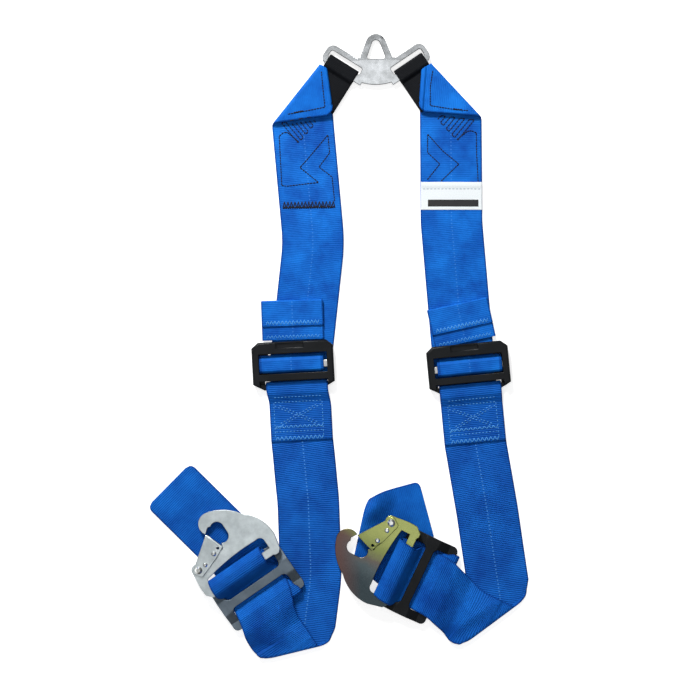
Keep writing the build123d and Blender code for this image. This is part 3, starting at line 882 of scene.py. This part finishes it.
def break_edges(node, material):
    """Shows a copy of a rigid piece, with its edges slightly rounded, in the piece's place."""
    source = frame["nodes"][node]
    bm = bmesh.new()
    bm.from_mesh(source.data)
    bm.transform(source.matrix_world)
    bmesh.ops.remove_doubles(bm, verts=bm.verts, dist=0.00001)
    bmesh.ops.dissolve_limit(bm, angle_limit=math.radians(1), verts=bm.verts, edges=bm.edges)
    sharp = [e for e in bm.edges if len(e.link_faces) == 2 and e.calc_face_angle() > SHARP]
    bmesh.ops.bevel(bm, geom=sharp, offset=EDGE_ROUND * MM, segments=2, profile=0.5, affect="EDGES",
                    material=-1, clamp_overlap=False)
    for face in bm.faces:
        face.smooth = face.calc_area() < FLAT_AREA * MM * MM
    piece = finish_mesh(node + "_finished", bm, material)
    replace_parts(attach(piece, body_of(source)[0]), node)


# ------------------------------------------------------------------ straps

def upper_rows(leg):
    """From under the adjuster to the diagonal fold, whose flap closes over the black loop."""
    cols = columns(WIDTH, STRAP_COLUMNS)
    rises = angle_of(leg["strap_bend"], leg["fold_place"])
    returns = 2 * leg["fold_angle"] - rises
    z_high = LAYER + 2 * LOOP_LAYER + PLY / 2
    fold = Fold(leg["fold_place"], rises, returns, PLY / 2, z_high)
    clear = 36.0
    begins = moved(leg["strap_end"], angle_of(leg["strap_bend"], leg["strap_end"]), UNDER_FRAME)
    rows = flat_rows([begins, leg["strap_bend"], fold.begins(clear)], PLY / 2, cols)
    flap = narrowed_end(fold.rows(cols, clear, FLAP_LENGTH), FLAP_CORNER)
    hemmed(flap, cols, leg["mirror"], z_high)
    lined = len(rows) + len(flap) // 2
    return rippled(rows[:-1] + flap, leg["turn"], *UPPER_RIPPLE), cols, lined


def hemmed(flap, cols, low_side, z_high):
    """Turned-over hems: a thick crumpled one on the flap's end and a thin one on its lower edge."""
    middle = len(cols) // 2
    left = 0.0
    for i in range(len(flap) - 1, 0, -1):
        for t, p in zip(cols, flap[i]):
            if p.z > z_high - AIR:
                edge = (cols[-1] - t * low_side) / EDGE_HEM
                end = left / END_HEM
                crumple = noise.noise(p * 0.42) * 0.5 + noise.noise(p * 1.1) * 0.25
                beside_end = 1 - arch(min(end, 0.5))
                p.z += (HEM_RISE + crumple) * arch(end) + EDGE_RISE * arch(edge) * beside_end
        left += (flap[i][middle] - flap[i - 1][middle]).length


def arch(x):
    """A half circle over the stretch from 0 to 1."""
    return math.sqrt(max(0.0, 1 - (2 * x - 1) ** 2)) if 0 < x < 1 else 0.0


def sewn_loop(leg, cols):
    """The sewn end of the lower strap, round the adjuster's anchor bar."""
    middle, half = sum(ANCHOR) / 2, (ANCHOR[1] - ANCHOR[0]) / 2
    place = on_frame(leg["adjuster"], leg["turn"], leg["strap_offset"], middle)
    over = FRAME_LIFT + ANCHOR_THICK + FIT + PLY / 2
    back = -(half + ANCHOR_ROOM + PLY / 2)
    low = PLY / 2
    profile = [
        (BOX_LENGTH, low + LAYER), (BOX_RISE[1], low + LAYER), (BOX_RISE[0], over), (back, over),
        (back, low), (BOX_LENGTH, low),
    ]
    rows = bent_rows(place, leg["turn"] - 90, profile, cols, [3.0, 3.0, 0.9, 0.9])
    return rows, moved(place, leg["turn"] - 90, BOX_LENGTH)


def woven_profile(leg):
    """Through the slide, round the hook's bar, back and round the slide: (along, height) and radii.

    Lengths run along the slide's heading, from the middle of the slide.
    """
    outer = SLIDE_LIFT + PLY + FIT + SLIDE_THICK / 2
    centre = outer + 2 * LAYER
    over_r = outer + SLIDE_THICK / 2 + AIR + PLY / 2
    over_m = over_r + LAYER
    under_m = centre - SLIDE_THICK / 2 - FIT - PLY / 2
    under_r = under_m - LAYER
    hook_z = SLIDE_LIFT + FRAME_LIFT + SLIDE_THICK + AIR + PLY + HOOK_ROOM
    turn = HOOK_ROOM + PLY / 2
    far = HOOK_REACH + turn + LOOP_SLACK
    tail = PLY / 2 + leg["tail_layer"] * LAYER
    back = -(SLIDE_HALF_LENGTH + 2.7)
    climb = -(SLIDE_HALF_LENGTH + 20.5)
    tail_turn = 0.48 * (over_r - tail)
    points = [
        (climb - 6.5, LAYER + PLY / 2), (climb, LAYER + PLY / 2), (climb + 15, over_m), (-15.0, over_m),
        (-6.0, under_m), (5.5, under_m), (HOOK_REACH - 2.8, hook_z + turn), (far - 5.0, hook_z + turn),
        (far, hook_z + 0.6), (far - 2.0, hook_z - turn), (HOOK_REACH - 3.3, hook_z - turn),
        (7.5, under_r), (-6.25, under_r), (-15.25, over_r), (back, over_r), (back, tail), (10, tail),
    ]
    radii = [12, 12, 3, 3, 3, 6, 5, 2.2, 1.8, 2, 2, 3, 3, tail_turn, tail_turn]
    if leg["tail_layer"]:
        points += [(16, PLY / 2), (24, PLY / 2)]
        radii += [3, 3]
    return points, radii


def beside_slide(leg, p):
    """Place of a point along the slide's heading, from the middle of the slide."""
    return (p.xy - Vector(leg["slide"])).dot(polar(leg["heading"]))


def staggered(rows, leg):
    """Sets the layers out of line in the slide, so that the turn round its end shows beside the run."""
    aside = -polar(leg["heading"] + 90)
    for i, row in enumerate(rows):
        along = beside_slide(leg, row[0])
        back = smooth(3 * i / len(rows) - 1)
        spread = leg["play"] * smooth((along - 5) / 6)
        first = -(SLOT_PLAY + spread) * (1 - back) * smooth((along + 42) / 14 + 2 * back)
        second = back * (SLOT_PLAY + spread / 4 + TURN_SHOWS * smooth((-14 - along) / 6))
        for p in row:
            p.xy += aside * (first + second)
    return rows


def sweep_ways(leg, fold):
    """Straight aside from the slide's heading, and along the fold's line just as far aside."""
    aside = polar(leg["heading"] + 90)
    line = fold.along_line(aside)
    return aside, line / line.dot(aside)


def swept(rows, cols, leg, fold, all_turned=False):
    """Carries the folded run to the outer side, as a strap lies that is led round its corner."""
    aside, line = sweep_ways(leg, fold)
    sweep = leg["sweep"]
    mean = (sweep["inner"] + sweep["outer"]) / 2
    lean = (sweep["inner"] - sweep["outer"]) / 2
    for row in rows:
        for t, p in zip(cols, row):
            turned = 1 if all_turned else smooth(fold.turned(p))
            edge = t / cols[-1]
            gone = sweep["begins"] - beside_slide(leg, p)
            depth = fold.inside(p)
            carried = (mean + edge * lean) * smooth(gone / sweep["length"])
            below = CORNER_GIVE * (1 - smooth(depth / 10)) * (1 - turned)
            p.xy += line.lerp(aside, smooth(depth / 25)) * carried * (turned + below)
            p.z += PUFF * turned * (1 - edge ** 2) * smooth(depth / 16) * smooth(gone / 26 - 0.5)
    return rows


def drifted(rows, drift):
    """Lets the long run lie a little to one side, between its sewn box and its fold."""
    for row in rows:
        for p in row:
            p.x += drift * smooth((BELOW_BOX - p.y) / 15) * smooth((p.y - ABOVE_FOLD) / 60)
    return rows


def lower_rows(leg):
    """The whole lower strap: sewn loop, long run, diagonal fold, slide and hook, and the free tail."""
    cols = columns(WIDTH, STRAP_COLUMNS)
    heading = leg["heading"]
    fold_at = moved(leg["slide"], heading, -leg["fold_reach"])
    came = angle_of(leg["waypoints"][-1], fold_at)
    fold = Fold(fold_at, came, heading, PLY / 2, LAYER + PLY / 2, radius=FOLD_RADIUS)
    clear = 22.0
    looped, loop_end = sewn_loop(leg, cols)
    run = flat_rows([loop_end, *leg["waypoints"], fold.begins(clear)], PLY / 2, cols)
    profile, radii = woven_profile(leg)
    woven = staggered(bent_rows(leg["slide"], heading, profile, cols, radii, 0.8, -1), leg)
    turned = fold.rows(cols, clear, leg["fold_reach"] + profile[0][0])
    fold.settle(swept(turned, cols, leg, fold))
    swept(woven[:len(woven) // 4], cols, leg, fold, all_turned=True)
    rows = rippled(looped[:-1] + run[:-1] + turned[:-1] + woven, heading, *LOWER_RIPPLE)
    lined = len(rows) - len(woven) - len(turned) // 2
    drifted(rows, leg["drift"])
    round_corners(rows, leg, fold)
    joint = woven[-1][len(cols) // 2].xy
    if leg["tail_fold"]:
        rows += folded_tail(leg, cols, joint)
    else:
        lead = moved(joint, heading, 8)
        tail = flat_rows([joint, lead, leg["tail_end"]], PLY / 2, cols, side=-1)
        rows += narrowed_end(tail, TAIL_CORNER)[1:]
    return rows, cols, lined


def round_corners(rows, leg, fold):
    """Softens both corners of the diagonal fold, where the sweep has carried them to."""
    _, line = sweep_ways(leg, fold)
    inner, outer = CORNER_GIVE * leg["sweep"]["inner"], leg["sweep"]["outer"]
    for edge, carried, depth in ((1, inner, 2.2), (-1, outer, 2.6)):
        place, inward = fold.corner(edge * WIDTH / 2)
        softened(rows, (place + line * carried, inward), depth, 13.0)


def folded_tail(leg, cols, joint):
    """The right leg's tail, which turns back over itself in a loose roll."""
    goes = angle_of(joint, leg["tail_fold"])
    back = angle_of(leg["tail_fold"], leg["tail_end"])
    fold = Fold(leg["tail_fold"], goes, back, PLY / 2, LAYER + PLY / 2, side=-1)
    clear = 26.0
    rows = flat_rows([joint, fold.begins(clear)], PLY / 2, cols, side=-1)
    length = math.dist(leg["tail_fold"], leg["tail_end"])
    turned = narrowed_end(fold.rows(cols, clear, length), ROLLED_TAIL_CORNER)
    tip = fold.corner(WIDTH / 2)[0]
    for row in turned:
        for p in row:
            if p.z > LAYER:
                share = min(max(fold.inside(p), 0.0), ROLL_WIDTH) / ROLL_WIDTH
                crest = math.sqrt(1 - (1 - share) ** 2)
                p.z += TAIL_ROLL * crest * (1 - smooth(((p.xy - tip).length - 8.0) / 17.0))
    softened(turned, fold.corner(WIDTH / 2), 3.5, 16.0)
    return rows[1:-1] + turned


def tail_base(leg):
    """Where the free tail comes out of the adjuster."""
    return on_frame(leg["adjuster"], leg["turn"], leg["tail_offset"], TOP_BAR_END - 0.5)


def tab_rows(leg):
    """The free tail above the adjuster, folded over into a sewn tab."""
    cols = columns(WIDTH, STRAP_COLUMNS)
    low = FRAME_LIFT + PLY / 2
    high = low + LAYER
    end = TAIL_REACH + 0.7
    profile = [(1.5, low), (end, low), (end, high), (TAIL_REACH - TAB_LENGTH, high)]
    return bent_rows(tail_base(leg), leg["tail_angle"], profile, cols, [0.69, 0.69], 0.7), cols


def wrap_rows(leg):
    """The turn of strap round the lock bar, closed down towards the tail."""
    cols = columns(WRAP_WIDTH, STRAP_COLUMNS)
    place = on_frame(leg["adjuster"], leg["turn"], leg["wrap_offset"], 0)
    low = FRAME_LIFT + PLY / 2
    high = LOCK_BAR_TOP + 0.2 + PLY / 2
    back = LOCK_BAR_BACK - 2.05
    profile = [(5.5, low), (back, low), (back, high), (5.0, high), (8.6, 3.95)]
    return bent_rows(place, leg["turn"] + 90, profile, cols, [2.3, 2.3, 3.5], 0.5), cols


def tongue_bar(leg):
    """Middle of a tongue bar, and the heading in which its black loop leaves."""
    side = -leg["mirror"]
    place = on_frame(TONGUE_PLACE, TONGUE_TURN, side * BAR_OUT[0], BAR_OUT[1])
    return place, TONGUE_TURN + (WING_ANGLE - 90 if side > 0 else 270 - WING_ANGLE)


def black_loop_rows(leg):
    """Narrow webbing round a tongue bar, whose two ends lie inside the head of the upper strap."""
    cols = columns(LOOP_WIDTH, NARROW_COLUMNS)
    place, heading = tongue_bar(leg)
    half = TONGUE_THICK / 2 + FIT + LOOP_PLY / 2
    low = LAYER + LOOP_PLY / 2
    high = low + LOOP_LAYER
    bar = BAR_WIDTH / 2 + FIT + LOOP_PLY / 2
    end = -bar - LOOP_LOOSE
    profile = [
        (LOOP_LENGTH, low), (STRAP_TRIM, low), (STRAP_TRIM - 2.9, TONGUE_Z - half),
        (end, TONGUE_Z - half), (end, TONGUE_Z + half), (bar, TONGUE_Z + half), (bar + 2.7, high),
        (LOOP_LENGTH, high),
    ]
    return bent_rows(place, heading, profile, cols, [1.2, 1.2, 1.6, 1.6, 1.2, 1.2], 0.6), cols


def cut_beyond(piece, place, angle):
    """Takes off what lies past a plan line, on the side that the angle points to."""
    bm = bmesh.new()
    bm.from_mesh(piece.data)
    everything = bm.verts[:] + bm.edges[:] + bm.faces[:]
    cut = bmesh.ops.bisect_plane(bm, geom=everything, plane_co=metres(Vector((*place, 0))),
                                 plane_no=(*polar(angle), 0), clear_outer=True)
    edges = [e for e in cut["geom_cut"] if isinstance(e, bmesh.types.BMEdge)]
    bmesh.ops.holes_fill(bm, edges=edges, sides=0)
    bm.to_mesh(piece.data)
    bm.free()


def lay(piece, node, body):
    """Seats a strap on its body, in place of its plain solid."""
    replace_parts(piece, node)
    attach(piece, body)
    return piece


def build_upper_strap(side, leg):
    rows, cols, lined = upper_rows(leg)
    piece = webbing(side + "_strap_upper", rows, cols, PLY, STRAP_HEAD, 0, lined)
    cut_beyond(piece, on_frame(leg["adjuster"], leg["turn"], 0, STRAP_STOP), leg["turn"] - 90)
    place, heading = tongue_bar(leg)
    cut_beyond(piece, moved(place, heading, TIP_TRIM), heading + 180)
    return lay(piece, side + "_upper_strap", "upper_straps")


def build_lower_strap(side, leg):
    rows, cols, lined = lower_rows(leg)
    piece = webbing(side + "_strap_lower", rows, cols, PLY, STRAP, 1, lined)
    return lay(piece, side + "_lower_strap", side + "_adjuster")


def build_tab(side, leg):
    rows, cols = tab_rows(leg)
    piece = webbing(side + "_tab", rows, cols, PLY, STRAP_HEAD)
    return lay(piece, side + "_pull_tab", side + "_tail")


def build_wrap(side, leg):
    rows, cols = wrap_rows(leg)
    piece = webbing(side + "_wrap", rows, cols, PLY, STRAP_HEAD)
    lay(piece, side + "_lock_wrap", side + "_lock")


def build_black_loop(side, leg):
    """A black loop, which bends between the upper strap and the tilting tongue plate."""
    rows, cols = black_loop_rows(leg)
    piece = webbing(side + "_black_loop", rows, cols, LOOP_PLY, BLACK)
    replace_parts(piece, side + "_tongue_loop")
    place, heading = tongue_bar(leg)
    start = metres(Vector((*moved(place, heading, STRAP_TRIM + 2), LAYER)))
    end = metres(Vector((*place, TONGUE_Z)))
    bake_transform(piece, "upper_straps", "tongue", start=start, end=end)


def build_straps():
    """All the webbing. The straps that are sewn on later are given back by name."""
    sewn = {}
    for side, leg in LEGS.items():
        sewn[side + "_upper"] = build_upper_strap(side, leg)
        sewn[side + "_lower"] = build_lower_strap(side, leg)
        sewn[side + "_tab"] = build_tab(side, leg)
        build_wrap(side, leg)
        build_black_loop(side, leg)
    return sewn


dress_hardware()
STRAPS = build_straps()


# ------------------------------------------------------------------ sewing

class Surface:
    """Heights of a finished piece below plan points."""

    def __init__(self, piece):
        mesh = piece.data
        faces = [tuple(face.vertices) for face in mesh.polygons]
        self.tree = BVHTree.FromPolygons([v.co for v in mesh.vertices], faces)

    def on(self, place):
        """The point of the surface at a plan place, in millimetres, or None beside the piece."""
        above = metres(Vector((place[0], place[1], 1 / MM)))
        hit = self.tree.ray_cast(above, Vector((0, 0, -1)))[0]
        return None if hit is None else Vector((place[0], place[1], hit.z / MM))


def dashes(points, length, gap):
    """Ends of even stitches along a path."""
    stitches = []
    points = [Vector(p) for p in points]
    for start, end in zip(points, points[1:]):
        count = max(1, round((end - start).length / (length + gap)))
        share = gap / 2 / (end - start).length
        for k in range(count):
            first, last = k / count + share, (k + 1) / count - share
            stitches.append((start.lerp(end, first), start.lerp(end, last)))
    return stitches


def zigzag(start, end, pitch, half, phase=0):
    """Ends of slanting stitches that go to and fro across a line."""
    start, end = Vector(start), Vector(end)
    run = (end - start).normalized()
    aside = Vector((-run.y, run.x)) * half
    count = round((end - start).length / pitch)
    tips = []
    for k in range(count + 1):
        side = 1 if (k + phase) % 2 else -1
        tips.append(start.lerp(end, k / count) + aside * side)
    return list(zip(tips, tips[1:]))


def thread_shape(bm, start, end, radius):
    """One stitch: a long bead that sinks into the cloth at both ends."""
    run = end - start
    shift = Matrix.Translation(metres((start + end) / 2))
    turn = run.to_track_quat("X", "Z").to_matrix().to_4x4()
    shape = Matrix.Diagonal((run.length * BEAD_REACH * MM, radius * MM, radius * MM, 1))
    made = bmesh.ops.create_uvsphere(bm, u_segments=6, v_segments=5, radius=1,
                                     matrix=shift @ turn @ shape)
    for v in made["verts"]:
        for face in v.link_faces:
            face.smooth = True


def sew(name, stitches, cloth, body, material, radius):
    """Lays stitches on a strap. A stitch that would hang over an edge is left out."""
    bm = bmesh.new()
    for start, end in stitches:
        start, end = cloth.on(start), cloth.on(end)
        if start and end and abs(start.z - end.z) < STITCH_STEP:
            thread_shape(bm, start, end, radius)
    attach(finish_mesh(name, bm, material), body)


def comb(tips, roots, count=8):
    """The to-and-fro rows of a reinforcing patch, between the lines of its tips and of its roots."""
    path = []
    for k in range(count):
        share = k / (count - 1)
        ends = [Vector(first).lerp(Vector(last), share) for first, last in (tips, roots)]
        path += ends if k % 2 else ends[::-1]
    return path


# outlines of the sewing on the two heads, in the plan frame
LEFT_HEAD = {
    "patch": comb(((-47.0, 182.2), (-22.9, 186.8)), ((-33.4, 166.0), (-19.2, 182.4))),
    "outline": [
        (-32.6, 166.5), (-42.4, 174.6), (-45.3, 174.3), (-48.8, 171.4), (-46.7, 131.5), (-43.0, 130.9),
        (-17.0, 134.0), (-32.0, 146.1), (-26.8, 151.7), (-9.4, 172.5), (-8.0, 158.0), (-16.6, 146.5),
        (-6.0, 138.4), (-4.0, 118.7),
    ],
    "flap": [(-14.6, 223.5), (-13.5, 210.7), (-11.7, 194.5), (-25.6, 191.6), (-41.8, 188.7)],
    "tacks": [((-37.0, 189.8), (-29.4, 191.4))],
    "bars": [((-45.9, 115.5), (-3.6, 116.2))],
}
RIGHT_HEAD = {
    "patch": comb(((109.0, 184.6), (82.0, 188.0)), ((95.4, 168.0), (79.4, 185.0))),
    "outline": [
        (94.7, 168.5), (103.4, 175.4), (106.9, 175.8), (110.7, 174.3), (110.9, 157.5), (112.1, 134.3),
    ],
    "chevrons": [
        [
            (71.0, 136.1), (81.1, 148.8), (71.3, 158.1), (71.3, 173.1), (83.1, 159.8), (96.5, 148.8),
            (82.0, 134.9),
        ],
    ],
    "flap": [(75.3, 224.0), (73.3, 210.7), (73.3, 195.7), (93.6, 192.4), (104.0, 191.6)],
    "tacks": [((91.6, 193.0), (99.0, 192.2))],
    "bars": [],
}


def sew_head(side, head):
    """The black sewing on the head of an upper strap."""
    cloth = Surface(STRAPS[side + "_upper"])
    stitches = []
    for path in (head["patch"], head["outline"], head["flap"], *head.get("chevrons", [])):
        stitches += dashes(path, *HEAD_STITCH)
    for start, end in head["tacks"]:
        stitches += zigzag(start, end, *TACK_ZIGZAG)
    for start, end in head["bars"]:
        stitches += zigzag(start, end, *BAR_ZIGZAG)
        lower = Vector((0, 2.0))
        stitches += zigzag(Vector(start) - lower, Vector(end) - lower, *BAR_FOOT_ZIGZAG, 1)
    sew(side + "_head_stitches", stitches, cloth, "upper_straps", BLACK_THREAD,
        HEAD_THREAD)


def sew_tab(side, leg):
    """Two light seams: one closes the tab, and a finer one lies next to the adjuster."""
    half = WIDTH / 2 - 3.5
    angle = leg["tail_angle"]
    cloth = Surface(STRAPS[side + "_tab"])
    closing = ("_tab_seam", TAIL_REACH - TAB_LENGTH + 2.6, TAB_ZIGZAG, BOX_THREAD)
    beside_frame = ("_tab_stitches", 4.2, FRAME_SIDE_ZIGZAG, FINE_THREAD)
    for name, along, pattern, radius in (closing, beside_frame):
        middle = moved(tail_base(leg), angle, along)
        ends = [moved(middle, angle - 90, s * half) for s in (-1, 1)]
        sew(side + name, zigzag(*ends, *pattern), cloth, side + "_tail", BLUE_THREAD,
            radius)


def sew_box(side, leg):
    """The sewn box that closes the lower strap round the adjuster's anchor bar."""
    def at(x, y):
        return on_frame(leg["adjuster"], leg["turn"], x + leg["strap_offset"], y)

    half = 19.5
    lines = [((-half, y), (half, y)) for y in (-25.5, -29.5, -53.4)]
    lines += [((x, -29.5), (x, -58.0)) for x in (-half, half)]
    for s in (-1, 1):
        lines.append(((s * half, -32.0), (-s * half, -51.0)))
        lines.append(((s * (half - 4), -32.0), (-s * (half - 4), -47.0)))
    stitches = []
    for start, end in lines:
        stitches += dashes([at(*start), at(*end)], *BOX_STITCH)
    stitches += zigzag(at(-half, -49.6), at(half, -49.6), *BOX_ZIGZAG)
    stitches += zigzag(at(-half, -58.9), at(half, -58.9), *BOX_END_ZIGZAG)
    cloth = Surface(STRAPS[side + "_lower"])
    sew(side + "_box_stitches", stitches, cloth, side + "_adjuster", BLUE_THREAD,
        BOX_THREAD)


def build_label():
    """A bare woven label: a folded top hem, its seam, and a dark printed bar without lettering."""
    x, y = LABEL_PLACE
    left, right = x - LABEL_LENGTH / 2, x + LABEL_LENGTH / 2
    cols = columns(LABEL_WIDTH, NARROW_COLUMNS)
    strap = Surface(STRAPS["right_upper"])
    rows = flat_rows([(left, y), (right, y)], 0, cols, 1.0)
    hem = LABEL_WIDTH / 2 - LABEL_HEM
    hem_rise = 0.35
    for row in rows:
        for t, p in zip(cols, row):
            below = strap.on((min(max(p.x, left + 1.5), right - 1.5), p.y))
            p.z = below.z + FIT + hem_rise * smooth(t - hem + 0.5)
    label = webbing("label_cloth", rows, cols, LABEL_PLY, LABEL)
    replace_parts(label, "strap_label")
    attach(label, "upper_straps")
    cloth = Surface(label)
    seam = y + hem - 1.4
    stitches = dashes([(left + 1, seam), (right - 1, seam)], *LABEL_STITCH)
    sew("label_stitches", stitches, cloth, "upper_straps", TEAL_THREAD, LABEL_THREAD)
    print_bar(cloth, *LABEL_PRINT)


def print_bar(cloth, low, high):
    """A plain dark bar printed on the label, between two opposite corners."""
    thick = 0.05
    bm = bmesh.new()
    bmesh.ops.create_grid(bm, x_segments=30, y_segments=6, size=0.5)
    for v in bm.verts:
        place = [a + (c + 0.5) * (b - a) for a, b, c in zip(low, high, v.co)]
        v.co = metres(cloth.on(place) + Vector((0, 0, thick)))
    bmesh.ops.solidify(bm, geom=bm.faces[:], thickness=thick * MM)
    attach(finish_mesh("label_print", bm, PRINT), "upper_straps")


for side, leg in LEGS.items():
    sew_tab(side, leg)
    sew_box(side, leg)
sew_head("left", LEFT_HEAD)
sew_head("right", RIGHT_HEAD)
build_label()


# ------------------------------------------------------------------ stage, light and camera

def stage_material():
    """A pale floor that looks white, and whitens metal, without lighting the set."""
    material, board = new_material("floor_white")
    rays = board.nodes.new("ShaderNodeLightPath").outputs
    seen = board.math("MAXIMUM", rays["Is Camera Ray"], rays["Is Glossy Ray"])
    seen = board.math("MAXIMUM", seen, rays["Is Transmission Ray"])
    glow = board.math("MULTIPLY", seen, 0.7)
    board.shade({
        "Base Color": (0.8, 0.8, 0.8), "Roughness": 0.9,
        "Emission Color": (1.0, 1.0, 1.0), "Emission Strength": glow,
    })
    return material


def build_stage():
    bm = bmesh.new()
    bmesh.ops.create_grid(bm, x_segments=2, y_segments=2, size=3.0)
    new_piece("floor", bm, stage_material())


def area_light(name, place, size, power):
    """A round lamp that looks at the middle of the set."""
    data = bpy.data.lights.new(name, "AREA")
    data.energy = power
    data.shape = "DISK"
    data.size = size
    light = bpy.data.objects.new(name, data)
    bpy.context.collection.objects.link(light)
    light.location = place
    light.rotation_euler = (-Vector(place)).to_track_quat("-Z", "Y").to_euler()


def build_lights():
    world = bpy.data.worlds.new("studio")
    world.use_nodes = True
    background = world.node_tree.nodes["Background"]
    background.inputs["Color"].default_value = (1, 1, 1, 1)
    background.inputs["Strength"].default_value = 0.12
    bpy.context.scene.world = world
    area_light("key", (-0.45, 1.3, 1.05), 0.45, 34.0)
    area_light("fill", (-0.7, -0.8, 1.3), 1.0, 3.5)
    area_light("card", (0.1, 0.15, 2.1), 1.5, 6.0)


def build_camera():
    """Straight down on the set, as far away as makes the lens almost parallel."""
    middle, span, height = (8.5, -1.6), 0.567, 1.5
    data = bpy.data.cameras.new("camera")
    data.sensor_width = 36.0
    data.lens = data.sensor_width * height / span
    camera = bpy.data.objects.new("camera", data)
    bpy.context.collection.objects.link(camera)
    camera.location = metres(Vector((*middle, height / MM)))
    bpy.context.scene.camera = camera
    bpy.context.scene.view_settings.view_transform = "Standard"


build_stage()
build_lights()
build_camera()
